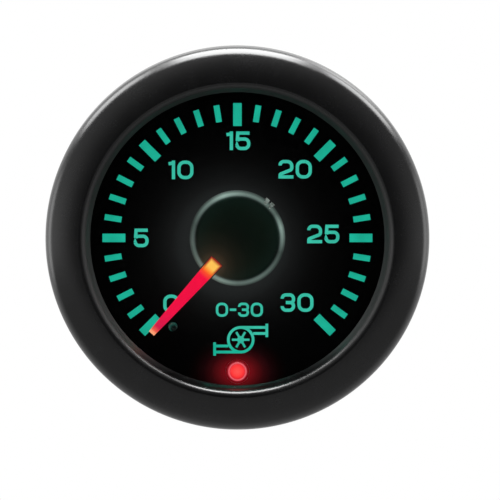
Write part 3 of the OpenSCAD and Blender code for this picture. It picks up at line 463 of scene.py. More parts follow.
def area_lamp(name, location, size, radiance, diffuse, glossy):
    """An oblong lamp that points at the gauge; it may only light, or only show in gloss."""
    data = bpy.data.lights.new(name, "AREA")
    data.shape = "RECTANGLE"
    data.size = size[0]
    data.size_y = size[1]
    data.energy = math.pi * size[0] * size[1] * radiance
    lamp = bpy.data.objects.new(name, data)
    lamp.location = location
    lamp.rotation_euler = (-Vector(location)).to_track_quat("-Z", "Y").to_euler()
    lamp.visible_camera = False
    lamp.visible_diffuse = diffuse
    lamp.visible_glossy = glossy
    bpy.context.scene.collection.objects.link(lamp)


def make_lamps():
    for lamp in LAMPS:
        area_lamp(*lamp)


def studio_gloss(tree, split, depth):
    """What gloss sees of the world: dark in front, white behind, and softer above and to the sides."""
    dark = ramp(tree, depth, [
        (0.0, grey(0.006)), (0.02, grey(0.02)), (0.05, grey(0.1)), (0.1, grey(0.28)), (0.18, grey(0.5)),
        (0.3, grey(0.55)), (0.42, grey(0.42)), (0.55, grey(0.5)), (0.72, grey(1.0))])
    side = ramp(tree, between(tree, split["X"], -1.0, 1.0), [
        (0.1, grey(1.2)), (0.32, grey(1.15)), (0.5, grey(0.4)), (0.68, grey(0.6)), (0.9, grey(0.75))])
    height = ramp(tree, between(tree, split["Z"], -1.0, 1.0), [
        (0.45, grey(1.0)), (0.62, grey(0.45)), (0.8, grey(0.3)), (1.0, grey(0.4))])
    side = mixed(tree, 1.0, side, height, "MULTIPLY")
    rear = ramp(tree, depth, [(0.5, grey(0.0)), (0.7, grey(1.0))])
    return mixed(tree, 1.0, dark, mixed(tree, rear, side, grey(1.0)), "MULTIPLY")


def make_world():
    """White to the eye; gloss and diffuse rays each see their own studio."""
    world = bpy.data.worlds.new("studio")
    world.use_nodes = True
    bpy.context.scene.world = world
    tree = world.node_tree
    split = axes(tree, "Generated")
    depth = between(tree, split["Y"], -1.0, 1.0)
    plain = ramp(tree, depth, [(0.0, grey(0.66)), (0.5, grey(0.78)), (0.8, grey(0.95))])
    path = tree.nodes.new("ShaderNodeLightPath")
    studio = mixed(tree, path.outputs["Is Glossy Ray"], plain, studio_gloss(tree, split, depth))
    seen = math_node(tree, "MAXIMUM", path.outputs["Is Camera Ray"],
                     path.outputs["Is Transmission Ray"])
    link(tree, mixed(tree, seen, studio, grey(1.0)), tree.nodes["Background"].inputs["Color"])


def floor_paper():
    """Pale paper that fades to white with distance; gloss sees it darker in front of the gauge."""
    mat, tree, shader = new_material("floor_paper")
    coords = object_coords(tree, (1.0, 1.0, 1.0))
    pale = ramp(tree, noise(tree, coords, 3.0), [(0.3, grey(0.78)), (0.7, grey(0.8))])
    dim = ramp(tree, between(tree, axes(tree)["Y"], -0.3, 0.3), [(0.2, grey(0.15)), (0.9, grey(0.8))])
    path = tree.nodes.new("ShaderNodeLightPath")
    link(tree, mixed(tree, path.outputs["Is Glossy Ray"], pale, dim), shader.inputs["Base Color"])
    shader.inputs["Roughness"].default_value = 0.9
    shader.inputs["Specular IOR Level"].default_value = 0.1
    white = tree.nodes.new("ShaderNodeEmission")
    white.inputs["Strength"].default_value = 1.0
    centre = tree.nodes.new("ShaderNodeVectorMath")
    centre.operation = "LENGTH"
    link(tree, coords, centre.inputs[0])
    fade = between(tree, centre.outputs["Value"], FLOOR_FADE[0], FLOOR_FADE[1])
    blend = tree.nodes.new("ShaderNodeMixShader")
    link(tree, math_node(tree, "MULTIPLY", fade, path.outputs["Is Camera Ray"]), blend.inputs["Fac"])
    link(tree, shader.outputs["BSDF"], blend.inputs[1])
    link(tree, white.outputs["Emission"], blend.inputs[2])
    link(tree, blend.outputs["Shader"], tree.nodes["Material Output"].inputs["Surface"])
    return mat


def make_floor():
    signs = ((-1, -1), (1, -1), (1, 1), (-1, 1))
    corners = [(x * FLOOR_HALF, y * FLOOR_HALF, FLOOR_Z) for x, y in signs]
    mesh = bpy.data.meshes.new("floor")
    mesh.from_pydata(corners, [], [(0, 1, 2, 3)])
    floor = bpy.data.objects.new("floor", mesh)
    bpy.context.scene.collection.objects.link(floor)
    mesh.materials.append(floor_paper())


# Bezel

def bezel_section():
    """Section of the bezel: seat, outer edge, crown, lip, shoulder and the groove inside its rim."""
    crown = (LIP_R, BEZEL_HEIGHT - CROWN_R)
    crest_r = LIP_R + CREST_R
    crest = (crest_r, crown[1] + math.sqrt((CROWN_R - CREST_R) ** 2 - CREST_R ** 2))
    edge_r = BEZEL_R - EDGE_R
    edge = (edge_r, crown[1] + math.sqrt((CROWN_R - EDGE_R) ** 2 - (edge_r - LIP_R) ** 2))
    first = math.degrees(math.atan2(crest[0] - crown[0], crest[1] - crown[1]))
    last = math.degrees(math.atan2(edge[0] - crown[0], edge[1] - crown[1]))
    groove_r = BEZEL_BORE_R + GROOVE_DEPTH
    section = [(BEZEL_BORE_R, 0.0), (BEZEL_R - REAR_CHAMFER, 0.0), (BEZEL_R, REAR_CHAMFER)]
    section += arc(edge, EDGE_R, 90.0, last, 40)
    section += arc(crown, CROWN_R, last, first, 48)[1:]
    section += arc(crest, CREST_R, first, -90.0, 24)[1:]
    section += [(VIEW_R, SHOULDER_Z), (BEZEL_BORE_R, SHOULDER_Z)]
    section += [(BEZEL_BORE_R, GROOVE_HIGH), (groove_r, GROOVE_HIGH - GROOVE_DEPTH)]
    section += [(groove_r, GROOVE_LOW + GROOVE_DEPTH), (BEZEL_BORE_R, GROOVE_LOW)]
    return section


def bezel_paint():
    """Satin black lacquer over a fine cast grain; the lip is matter away from its foot."""
    mat, tree, shader = new_material("bezel_lacquer")
    coords = object_coords(tree)
    cloud = noise(tree, coords, 0.25, detail=4.0, rough=0.6)
    fine = noise(tree, coords, 9.0, detail=2.0, rough=0.5)
    link(tree, ramp(tree, cloud, [(0.3, srgb(6, 6, 7)), (0.7, srgb(10, 10, 12))]),
         shader.inputs["Base Color"])
    gloss = spread(tree, weighted(tree, cloud, 0.5, fine, 0.5), 0.2, 0.32)
    radius = radius_from(tree)
    away = between(tree, axes(tree)["Z"], LIP_FOOT_Y * MM, (LIP_FOOT_Y + LIP_FOOT_FADE) * MM)
    lip = between(tree, radius, LIP_R + LIP_MATT_WIDTH, LIP_R + LIP_MATT_FULL)
    matt = math_node(tree, "MULTIPLY", lip, spread(tree, away, 0.0, 0.4))
    link(tree, math_node(tree, "ADD", gloss, matt), shader.inputs["Roughness"])
    shader.inputs["IOR"].default_value = 1.6
    shader.inputs["Specular IOR Level"].default_value = 1.0
    bump(tree, shader, fine, 0.25, 0.004)
    return mat


def make_bezel():
    bezel = lathe("bezel_shell", bezel_section(), "case", 360)
    give(bezel, bezel_paint())
    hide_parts("bezel")


# Lens

def lens_glass():
    """Clear moulded lens: glass to the eye; shadow, diffuse and glossy rays pass it straight."""
    mat, tree, shader = new_material("lens_clear")
    shader.inputs["Base Color"].default_value = (0.98, 1.0, 1.0, 1.0)
    shader.inputs["Transmission Weight"].default_value = 1.0
    shader.inputs["IOR"].default_value = 1.49
    coords = object_coords(tree)
    haze = noise(tree, coords, 0.2, detail=4.0, rough=0.6)
    link(tree, spread(tree, haze, 0.0, 0.04), shader.inputs["Roughness"])
    clear = tree.nodes.new("ShaderNodeBsdfTransparent")
    path = tree.nodes.new("ShaderNodeLightPath")
    mix = tree.nodes.new("ShaderNodeMixShader")
    output = tree.nodes["Material Output"]
    straight = math_node(tree, "MAXIMUM", path.outputs["Is Shadow Ray"], path.outputs["Is Diffuse Ray"])
    straight = math_node(tree, "MAXIMUM", straight, path.outputs["Is Glossy Ray"])
    link(tree, straight, mix.inputs["Fac"])
    link(tree, shader.outputs["BSDF"], mix.inputs[1])
    link(tree, clear.outputs["BSDF"], mix.inputs[2])
    link(tree, mix.outputs["Shader"], output.inputs["Surface"])
    return mat


def make_lens():
    section = [(0.0, LENS_LOW), (STACK_R - LENS_EDGE, LENS_LOW), (STACK_R, LENS_LOW + LENS_EDGE),
               (STACK_R, LENS_TOP - LENS_EDGE), (STACK_R - LENS_EDGE, LENS_TOP), (0.0, LENS_TOP)]
    lens = lathe("lens_disc", section, "case", 192)
    give(lens, lens_glass())
    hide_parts("lens")


# Dial and legends

def glow(tree, radius, stops, reach):
    """Emission colours by distance: stops are (millimetres, colour)."""
    return ramp(tree, between(tree, radius, 0.0, reach), [(r / reach, c) for r, c in stops])


def dial_print_and_painted_glow():
    """Matt black print, with the backlight's spill round the hub and the red lamp's round its hole."""
    mat, tree, shader = new_material("dial_print_and_painted_glow")
    coords = object_coords(tree)
    fine = noise(tree, coords, 12.0, detail=2.0, rough=0.5)
    link(tree, ramp(tree, fine, [(0.3, grey(0.0003)), (0.7, grey(0.0007))]),
         shader.inputs["Base Color"])
    link(tree, spread(tree, fine, 0.55, 0.75), shader.inputs["Roughness"])
    shader.inputs["Specular IOR Level"].default_value = 0.04
    # Painted glow: the backlight's spill round the hub and the red lamp's light round its hole, given
    # as emission.
    hub = glow(tree, radius_from(tree, HUB_GLOW_X, HUB_GLOW_Y), [
        (0.0, srgb(34, 36, 36)), (7.3, srgb(33, 35, 35)), (8.2, srgb(29, 31, 31)),
        (9.3, srgb(21, 22, 22)), (10.8, srgb(13, 14, 14)), (12.6, srgb(6, 6, 6)),
        (15.0, srgb(2, 2, 2)), (18.0, grey(0.0))], 18.0)
    red = glow(tree, radius_from(tree, 0.0, LAMP_Y, LAMP_GLOW_FLATTEN), [
        (0.0, srgb(118, 10, 20)), (1.9, srgb(112, 12, 20)), (2.9, srgb(82, 10, 15)),
        (4.0, srgb(46, 6, 9)), (5.2, srgb(20, 2, 4)), (6.4, srgb(6, 0, 0)), (7.5, grey(0.0))], 7.5)
    shine(tree, shader, mixed(tree, 1.0, hub, red, "ADD"))
    return mat


def legend_light():
    """Green-lit legends: the numerals a little paler than the ticks, with uneven backlight."""
    mat, tree, shader = new_material("legend_light")
    shader.inputs["Base Color"].default_value = (0.001, 0.04, 0.03, 1.0)
    shader.inputs["Roughness"].default_value = 0.5
    shader.inputs["Specular IOR Level"].default_value = 0.15
    colour = glow(tree, radius_from(tree), [
        (0.0, srgb(56, 190, 164)), (15.6, srgb(56, 188, 163)), (16.9, srgb(24, 176, 148)),
        (21.0, srgb(20, 170, 142))], 22.0)
    coords = object_coords(tree)
    uneven = ramp(tree, noise(tree, coords, 0.5, detail=2.0, rough=0.5),
                  [(0.3, grey(0.86)), (0.7, grey(1.05))])
    shine(tree, shader, mixed(tree, 1.0, colour, uneven, "MULTIPLY"))
    return mat


def flat_piece(name, outlines, low, high, body):
    """A flat plate between two heights; outlines inside the first are holes."""
    curve = bpy.data.curves.new(name, "CURVE")
    curve.dimensions = "2D"
    curve.fill_mode = "BOTH"
    curve.extrude = (high - low) / 2
    for outline in outlines:
        spline = curve.splines.new("POLY")
        spline.points.add(len(outline) - 1)
        for point, (x, y) in zip(spline.points, outline):
            point.co = (x, y, 0.0, 1.0)
        spline.use_cyclic_u = True
    source = bpy.data.objects.new(name + "_outline", curve)
    flat = bpy.data.meshes.new_from_object(source)
    points = [place(v.co.x, v.co.y, v.co.z + (low + high) / 2) for v in flat.vertices]
    faces = [tuple(face.vertices) for face in flat.polygons]
    bpy.data.objects.remove(source)
    bpy.data.meshes.remove(flat)
    return add_mesh(name, points, faces, body)


def circle_points(radius, centre=(0.0, 0.0), steps=96):
    turns = [2 * math.pi * k / steps for k in range(steps)]
    return [(centre[0] + radius * math.cos(a), centre[1] + radius * math.sin(a)) for a in turns]


def stop_centre():
    """Where the stop pin stands on the dial."""
    angle = math.radians(-90.0 - STOP_ANGLE)
    return (ARM_NECK * math.cos(angle), ARM_NECK * math.sin(angle))


def make_dial():
    outlines = [circle_points(STACK_R, steps=192), circle_points(SHAFT_HOLE_R),
                circle_points(LAMP_HOLE_R, (0.0, LAMP_Y)), circle_points(STOP_HOLE_R, stop_centre())]
    dial = flat_piece("dial_plate", outlines, FILM_LOW, DIAL_Z, "case")
    give(dial, dial_print_and_painted_glow())
    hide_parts("dial_face")


def round_corner(before, here, after, radius, steps=8):
    """Points of the arc that rounds the corner at here."""
    back = (before - here).normalized()
    ahead = (after - here).normalized()
    half = back.angle(ahead) / 2
    centre = here + (back + ahead).normalized() * (radius / math.sin(half))
    start = here + back * (radius / math.tan(half)) - centre
    end = here + ahead * (radius / math.tan(half)) - centre
    first = math.atan2(start.y, start.x)
    turn = (math.atan2(end.y, end.x) - first + math.pi) % (2 * math.pi) - math.pi
    angles = [first + turn * k / steps for k in range(steps + 1)]
    return [centre + radius * Vector((math.cos(a), math.sin(a))) for a in angles]


def rounded(path):
    """A line through (x, y, corner radius) points."""
    places = [Vector(point[:2]) for point in path]
    line = [places[0]]
    for i in range(1, len(path) - 1):
        radius = path[i][2]
        if radius:
            line += round_corner(places[i - 1], places[i], places[i + 1], radius)
        else:
            line.append(places[i])
    return line + [places[-1]]


def ribbon(line, width):
    """Left and right edges of a stroke along a line, mitred at its corners."""
    sides = ([], [])
    for i, here in enumerate(line):
        back = (here - line[i - 1]).normalized() if i else None
        ahead = (line[i + 1] - here).normalized() if i < len(line) - 1 else None
        back = back or ahead
        ahead = ahead or back
        normal = Vector((-back.y - ahead.y, back.x + ahead.x)).normalized()
        reach = width / 2 / max(0.4, normal.dot(Vector((-back.y, back.x))))
        sides[0].append(here + normal * reach)
        sides[1].append(here - normal * reach)
    return sides


def glyph_paths(value):
    """Centre lines of a numeral, from its lower left corner."""
    h = DIGIT_STROKE / 2
    top = DIGIT_HEIGHT - h
    right = DIGIT_WIDTHS[value] - h
    mid = DIGIT_HEIGHT / 2
    if value == "0":
        return [[(mid, top, 0), (h, top, 0.85), (h, h, 0.85), (right, h, 0.85), (right, top, 0.85),
                 (mid, top, 0)]]
    if value == "1":
        return [[(right, 0, 0), (right, DIGIT_HEIGHT, 0)], [(0, top - 0.24, 0), (right, top - 0.14, 0)]]
    if value == "2":
        return [[(h, top - 0.6, 0), (h, top, 0.55), (right, top, 0.7), (right, mid - 0.05, 0.45),
                 (h, h + 0.42, 0.2), (h, h, 0), (right + h, h, 0)]]
    if value == "3":
        return [[(h, top - 0.58, 0), (h, top, 0.55), (right, top, 0.6), (right, mid, 0.45),
                 (0.8, mid, 0)],
                [(0.8, mid, 0), (right, mid, 0.5), (right, h, 0.65), (h, h, 0.6), (h, h + 0.62, 0)]]
    if value == "5":
        return [[(right + 0.12, top, 0), (h + 0.14, top, 0), (h + 0.06, mid - 0.02, 0)],
                [(h + 0.1, mid + 0.1, 0), (h + 0.42, mid + 0.26, 0.3), (right, mid + 0.26, 0.62),
                 (right, h, 0.65), (h, h, 0.6), (h, h + 0.5, 0)]]
    return [[(0, mid, 0), (DIGIT_WIDTHS[value], mid, 0)]]


def number_strokes(text, centre, scale=1.0):
    """Edges of all strokes of a number whose middle is at centre."""
    width = sum(DIGIT_WIDTHS[value] for value in text) + DIGIT_GAP * (len(text) - 1)
    x = -width / 2
    strokes = []
    for value in text:
        for path in glyph_paths(value):
            shift = Vector((x, -DIGIT_HEIGHT / 2))
            line = [Vector(centre) + (point + shift) * scale for point in rounded(path)]
            strokes.append(ribbon(line, DIGIT_STROKE * scale))
        x += DIGIT_WIDTHS[value] + DIGIT_GAP
    return strokes


def tick_strokes():
    """Edges of the scale's ticks, from zero and clockwise; those at a number are longer."""
    strokes = []
    for i in range(SCALE_STEPS + 1):
        angle = math.radians(90 + SCALE_SWEEP / 2 - i * SCALE_SWEEP / SCALE_STEPS)
        out = Vector((math.cos(angle), math.sin(angle)))
        if i % STEPS_PER_NUMBER:
            end, length, width = SHORT_TICK_END, SHORT_TICK_LENGTH, SHORT_TICK_WIDTH
        else:
            end, length, width = LONG_TICK_END, LONG_TICK_LENGTH, LONG_TICK_WIDTH
        strokes.append(ribbon([out * (end - length), out * end], width))
    return strokes


def sign_strokes():
    """A plain compressor sign: a round housing with a pipe on each side."""
    middle = Vector(SIGN_PLACE)
    ring_r = SIGN_R - SIGN_STROKE / 2
    strokes = []
    for radius, width, steps in ((ring_r, SIGN_STROKE, 72), (SIGN_HUB_R / 2, SIGN_HUB_R, 16)):
        ring = [Vector(point) for point in circle_points(radius, SIGN_PLACE, steps)]
        strokes.append(ribbon(ring + ring[:1], width))
    for k in range(BLADE_COUNT):
        turn = 2 * math.pi * k / BLADE_COUNT
        tip = middle + BLADE_END_R * Vector((math.cos(turn), math.sin(turn)))
        strokes.append(ribbon([middle, tip], BLADE_WIDTH))
    low = SIGN_R - SIGN_OUTLET + SIGN_STROKE / 2
    end = SIGN_LENGTH - SIGN_STROKE / 2
    for side in (-1, 1):
        bars = [((0, ring_r), (SIGN_LENGTH, ring_r)), ((ring_r, low), (SIGN_LENGTH, low)),
                ((end, SIGN_R - SIGN_OUTLET - SIGN_FLANGE), (end, SIGN_R + SIGN_FLANGE))]
        for start, stop in bars:
            line = [middle + side * Vector(start), middle + side * Vector(stop)]
            strokes.append(ribbon(line, SIGN_STROKE))
    return strokes


def stroke_faces(count, start):
    """Faces of a stroke of ink: count points on each edge, left and right, below and then above."""
    faces = []
    for i in range(count - 1):
        for edge in ((0, 1, count + 1, count), (2 * count, 3 * count, 3 * count + 1, 2 * count + 1),
                     (0, 2 * count, 2 * count + 1, 1), (count, count + 1, 3 * count + 1, 3 * count)):
            faces.append(tuple(start + i + offset for offset in edge))
    for i in (0, count - 1):
        faces.append((start + i, start + count + i, start + 3 * count + i, start + 2 * count + i))
    return faces


def make_legends():
    strokes = tick_strokes() + sign_strokes()
    for text, x, y in NUMBERS:
        strokes += number_strokes(text, (x, y))
    strokes += number_strokes("0-30", RANGE_PLACE, RANGE_SCALE)
    points = []
    faces = []
    for edges in strokes:
        faces += stroke_faces(len(edges[0]), len(points))
        for height in (INK_LOW, INK_TOP):
            points += [place(p.x, p.y, height) for edge in edges for p in edge]
    legends = add_mesh("dial_legends", points, faces, "case")
    give(legends, legend_light())
    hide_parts("dial_markings")


# Pointer

def pointer_points(x, half_width, z):
    """A point of the resting pointer: x along it, half_width to its side."""
    return place(x * math.cos(POINTER_TURN) - half_width * math.sin(POINTER_TURN),
                 x * math.sin(POINTER_TURN) + half_width * math.cos(POINTER_TURN), z)


def arm_ring(inset, z):
    """Outline of the arm at one height, from its root to its tip and back."""
    outline = [
        (ARM_START + inset, -ROOT_WIDTH / 2 + inset), (ARM_NECK, -NECK_WIDTH / 2 + inset),
        (ARM_TIP - inset, -TIP_WIDTH / 2 + inset), (ARM_TIP - inset, TIP_WIDTH / 2 - inset),
        (ARM_NECK, NECK_WIDTH / 2 - inset), (ARM_START + inset, ROOT_WIDTH / 2 - inset)]
    return [pointer_points(x, w, z) for x, w in outline]


def make_arm():
    levels = [(0.0, HUB_TOP)] + ARM_BEVEL
    points = []
    for inset, z in levels:
        points += arm_ring(inset, z)
    faces = stack_faces(6, len(levels))
    hub, hub_faces = lathe_parts([(SHAFT_R, HUB_LOW), (HUB_R, HUB_LOW), (HUB_R, HUB_TOP),
                                  (SHAFT_R, HUB_TOP)], 96)
    start = len(points)
    points += hub
    faces += [tuple(start + i for i in face) for face in hub_faces]
    faces += stack_faces(4, 2, len(points))
    half = NECK_WIDTH / 2
    corners = ((FOOT_START, -half), (ARM_FOOT_END, -half), (ARM_FOOT_END, half), (FOOT_START, half))
    for z in (HUB_LOW, HUB_TOP - FOOT_DROP):
        points += [pointer_points(x, w, z) for x, w in corners]
    arm = add_mesh("pointer_needle", points, faces, "pointer")
    give(arm, pointer_light())
    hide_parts("pointer_arm")


def pointer_frame(tree):
    """Millimetres along the resting pointer and across it."""
    split = axes(tree)
    right = TO_MM * math.cos(POINTER_TURN)
    up = TO_MM * math.sin(POINTER_TURN)
    along = weighted(tree, split["X"], right, split["Z"], up)
    across = weighted(tree, split["X"], -up, split["Z"], right)
    return along, math_node(tree, "ABSOLUTE", across)


def pointer_light():
    """Light along the pointer: amber root in a dark red rim, crimson along it, pale at its tip."""
    mat, tree, shader = new_material("pointer_light")
    shader.inputs["Base Color"].default_value = (0.12, 0.001, 0.008, 1.0)
    shader.inputs["Roughness"].default_value = 0.35
    shader.inputs["Specular IOR Level"].default_value = 0.15
    colour = glow(tree, radius_from(tree), [
        (0.0, srgb(255, 203, 90)), (6.1, srgb(255, 200, 86)), (6.7, srgb(254, 140, 40)),
        (7.1, srgb(246, 80, 34)), (7.9, srgb(240, 6, 60)), (15.0, srgb(236, 8, 66)),
        (18.2, srgb(208, 22, 72)), (18.9, srgb(232, 90, 70)), (19.3, srgb(255, 168, 120))], 20.0)
    along, across = pointer_frame(tree)
    root = between(tree, along, ROOT_GLOW[0], ROOT_GLOW[1])
    end = between(tree, along, ROOT_RIM_END[0], ROOT_RIM_END[1])
    side = between(tree, across, ROOT_RIM_SIDE[0], ROOT_RIM_SIDE[1])
    rim = math_node(tree, "MULTIPLY", root, math_node(tree, "MAXIMUM", end, side))
    colour = mixed(tree, math_node(tree, "MINIMUM", rim, 1.0), colour, srgb(150, 22, 24))
    uneven = ramp(tree, noise(tree, object_coords(tree), 0.9, detail=2.0, rough=0.5),
                  [(0.3, grey(0.92)), (0.7, grey(1.0))])
    shine(tree, shader, mixed(tree, 1.0, colour, uneven, "MULTIPLY"))
    return mat


def cap_gloss_and_painted_glow():
    """Black gloss cap with painted light: a grey-green ring where its bevel catches the backlight,
    brighter at some angles, and amber by the pointer.
    """
    mat, tree, shader = new_material("cap_gloss_and_painted_glow")
    shader.inputs["Specular IOR Level"].default_value = 0.3
    radius = radius_from(tree)
    base = ramp(tree, noise(tree, object_coords(tree), 0.5), [(0.3, grey(0.001)), (0.7, grey(0.002))])
    link(tree, base, shader.inputs["Base Color"])
    link(tree, spread(tree, noise(tree, object_coords(tree), 3.0), 0.12, 0.2),
         shader.inputs["Roughness"])
    # Painted glow: a dim green on the cap's top and a grey-green highlight on its bevel, given as
    # emission.
    ring = glow(tree, radius, [
        (0.0, srgb(5, 12, 8)), (4.0, srgb(8, 17, 11)), (6.15, srgb(12, 24, 19)),
        (6.4, srgb(34, 46, 42)), (6.62, srgb(104, 122, 116)), (6.85, srgb(122, 142, 134)),
        (7.1, srgb(92, 108, 102)), (7.28, srgb(60, 72, 68)), (7.34, srgb(120, 126, 122)),
        (7.6, srgb(128, 132, 128))], 8.0)
    # Painted highlights: the bevel's ring made brighter and darker by its angle round the cap.
    turn = ramp(tree, between(tree, angle_of(tree), -math.pi, math.pi), [
        (0.0, grey(0.6)), (0.06, grey(1.05)), (0.19, grey(0.5)), (0.3, grey(0.3)), (0.4, grey(0.9)),
        (0.45, grey(1.7)), (0.53, grey(0.85)), (0.6, grey(0.7)), (0.66, grey(0.5)), (0.71, grey(1.35)),
        (0.8, grey(0.28)), (0.92, grey(0.6)), (1.0, grey(0.6))])
    outside = between(tree, radius, CAP_RING[0], CAP_RING[1])
    ring = mixed(tree, outside, ring, mixed(tree, 1.0, ring, turn, "MULTIPLY"))
    # Painted glow of the pointer's amber light on the cap near the pointer's root.
    near = radius_from(tree, CAP_AMBER_R * math.cos(POINTER_TURN), CAP_AMBER_R * math.sin(POINTER_TURN))
    amber = glow(tree, near, [
        (0.0, srgb(72, 48, 34)), (1.3, srgb(58, 42, 30)), (2.2, srgb(36, 26, 19)),
        (3.6, srgb(19, 13, 9)), (5.5, srgb(5, 3, 2)), (7.5, grey(0.0))], 7.5)
    shine(tree, shader, mixed(tree, 1.0, ring, amber, "ADD"))
    return mat


def make_nub():
    """Two bumps of the cap's rim, across from the pointer, made bright by a painted glow."""
    points = []
    faces = []
    for middle in NUB_PLACES:
        faces += stack_faces(4, len(NUB_LEVELS), len(points))
        for trim, height in NUB_LEVELS:
            half = NUB_HALF_WIDTH - trim
            points += [pointer_points(-x, w, height) for x, w in (
                (NUB_INNER_R + trim, middle - half), (NUB_OUTER_R - trim, middle - half),
                (NUB_OUTER_R - trim, middle + half), (NUB_INNER_R + trim, middle + half))]
    nub = add_mesh("cap_rim_nub", points, faces, "pointer")
    mat = moulded("nub_plastic_painted_glow", srgb(70, 78, 74), srgb(96, 104, 100), (0.25, 0.4), depth=0.01)
    tree = mat.node_tree
    # Painted glow: the bumps shine pale as if lit, given as emission.
    pale = ramp(tree, noise(tree, object_coords(tree), 2.2, detail=2.0),
                [(0.35, srgb(52, 60, 56)), (0.65, srgb(128, 138, 132))])
    shine(tree, tree.nodes["Principled BSDF"], pale, 0.8)
    give(nub, mat)


# Warning lamp and stop pin

def make_warning_lamp():
    lamp = lathe("warning_lamp_dome", LAMP_SECTION, "case", 96, (0.0, LAMP_Y), 40)
    mat, tree, shader = new_material("lamp_light")
    shader.inputs["Base Color"].default_value = (0.3, 0.01, 0.01, 1.0)
    link(tree, spread(tree, noise(tree, object_coords(tree), 2.0), 0.15, 0.3),
         shader.inputs["Roughness"])
    colour = glow(tree, radius_from(tree, 0.0, LAMP_Y), [
        (0.0, srgb(255, 84, 78)), (0.6, srgb(255, 66, 64)), (1.0, srgb(236, 40, 46)),
        (1.16, srgb(206, 48, 58)), (1.32, srgb(214, 104, 114)), (1.44, srgb(160, 44, 58)),
        (1.55, srgb(90, 6, 16)), (1.9, srgb(74, 3, 12))], 2.0)
    shine(tree, shader, colour)
    give(lamp, mat)
    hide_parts("warning_lamp")


def make_stop_pin():
    section = [(0.0, STOP_LOW), (STOP_R, STOP_LOW), (STOP_R, STOP_TOP - STOP_SHOULDER)]
    section += arc((STOP_R - STOP_ROUND, STOP_TOP - STOP_ROUND), STOP_ROUND, 80.0, 0.0, 8)
    section += [(0.0, STOP_TOP)]
    pin = lathe("stop_post", section, "case", 64, stop_centre())
    black = moulded("stop_black_and_painted_highlight", srgb(6, 12, 11), srgb(10, 20, 18), (0.2, 0.3), grain=8.0, depth=0.004)
    tree = black.node_tree
    shader = tree.nodes["Principled BSDF"]
    # Painted highlight: a green arc of light round one side of the pin, given as emission.
    rim = glow(tree, radius_from(tree, stop_centre()[0] + 0.2, stop_centre()[1] - 0.2), [
        (0.0, grey(0.0)), (0.42, srgb(2, 8, 7)), (0.62, srgb(20, 62, 54)), (0.8, srgb(24, 70, 62)),
        (1.0, srgb(8, 24, 20))], 1.0)
    shine(tree, shader, rim)
    give(pin, black)
    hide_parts("stop_pin")


# Threaded studs

def stud_parts(side):
    """A stud's threaded shaft: rings whose radius follows the thread."""
    rows = int((COVER_FRONT - STUD_END) / (THREAD_PITCH / THREAD_ROWS)) + 1
    points = [place(side * STUD_X, 0.0, COVER_FRONT)]
    for row in range(rows + 1):
        z = COVER_FRONT + (STUD_END - COVER_FRONT) * row / rows
        fade = min(1.0, (COVER_FRONT - z) / THREAD_RUN_IN)
        taper = max(0.0, STUD_TAPER - (z - STUD_END))
        for k in range(THREAD_SIDES):
            turn = 2 * math.pi * k / THREAD_SIDES
            wave = abs(((z / THREAD_PITCH + k / THREAD_SIDES) % 1.0) * 2 - 1)
            r = STUD_R - fade * THREAD_DEPTH * (1 - min(1.0, wave * THREAD_FLANK)) - taper
            points.append(place(side * STUD_X + r * math.cos(turn), r * math.sin(turn), z))
    points.append(place(side * STUD_X, 0.0, STUD_END))
    last = len(points) - 1
    faces = []
    for k in range(THREAD_SIDES):
        j = (k + 1) % THREAD_SIDES
        faces.append((0, 1 + j, 1 + k))
        faces.append((last, last - THREAD_SIDES + k, last - THREAD_SIDES + j))
        for row in range(rows):
            low = 1 + row * THREAD_SIDES
            faces.append((low + k, low + j, low + THREAD_SIDES + j, low + THREAD_SIDES + k))
    return points, faces


def hex_head(side):
    """The six-sided head that holds a stud inside the rear cover."""
    rings = [(STUD_HEAD_R, COVER_FRONT), (STUD_HEAD_R, STUD_HEAD_Z - STUD_HEAD_BEVEL[1]),
             (STUD_HEAD_R - STUD_HEAD_BEVEL[0], STUD_HEAD_Z)]
    points = []
    for r, z in rings:
        for k in range(6):
            turn = math.pi * k / 3
            points.append(place(side * STUD_X + r * math.cos(turn), r * math.sin(turn), z))
    return points, stack_faces(6, len(rings))


def make_studs():
    points = []
    faces = []
    for side in (-1, 1):
        for more, more_faces in (stud_parts(side), hex_head(side)):
            start = len(points)
            points += more
            faces += [tuple(start + i for i in face) for face in more_faces]
    studs = add_mesh("threaded_studs", points, faces, "case")
    give(studs, metal("stud_plate", srgb(150, 152, 150), srgb(196, 196, 190), (0.22, 0.36)))
    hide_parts("mounting_studs")


# Materials of the solids that stay

def dress_front():
    """The case, the stack behind the lens and the boards."""
    black = moulded("case_plastic", srgb(20, 21, 23), srgb(28, 29, 31), (0.42, 0.6),
                    grain=5.0, depth=0.03)
    dress(black, "case_barrel", "rear_cover")
    spacer = moulded("spacer_plastic", srgb(6, 8, 8), srgb(10, 12, 12), (0.5, 0.65),
                     depth=0.01, specular=0.2)
    dress(spacer, "spacer_ring")
    rubber = moulded("seal_rubber", srgb(20, 20, 20), srgb(30, 30, 30), (0.7, 0.9))
    dress(rubber, "lens_seal", "cover_gasket")
    dress(cap_gloss_and_painted_glow(), "pointer_cap")
    guide = moulded("guide_acrylic", srgb(190, 214, 208), srgb(206, 228, 222), (0.2, 0.35))
    dress(guide, "light_guide")
    resist = moulded("board_resist", srgb(16, 62, 34), srgb(28, 92, 52), (0.25, 0.45),
                     grain=1.2, mottle=1.6)
    dress(resist, "display_board", "main_board")
    resin = moulded("backlight_resin", srgb(214, 226, 220), srgb(236, 242, 236), (0.3, 0.5))
    dress(resin, "backlight_lamps")


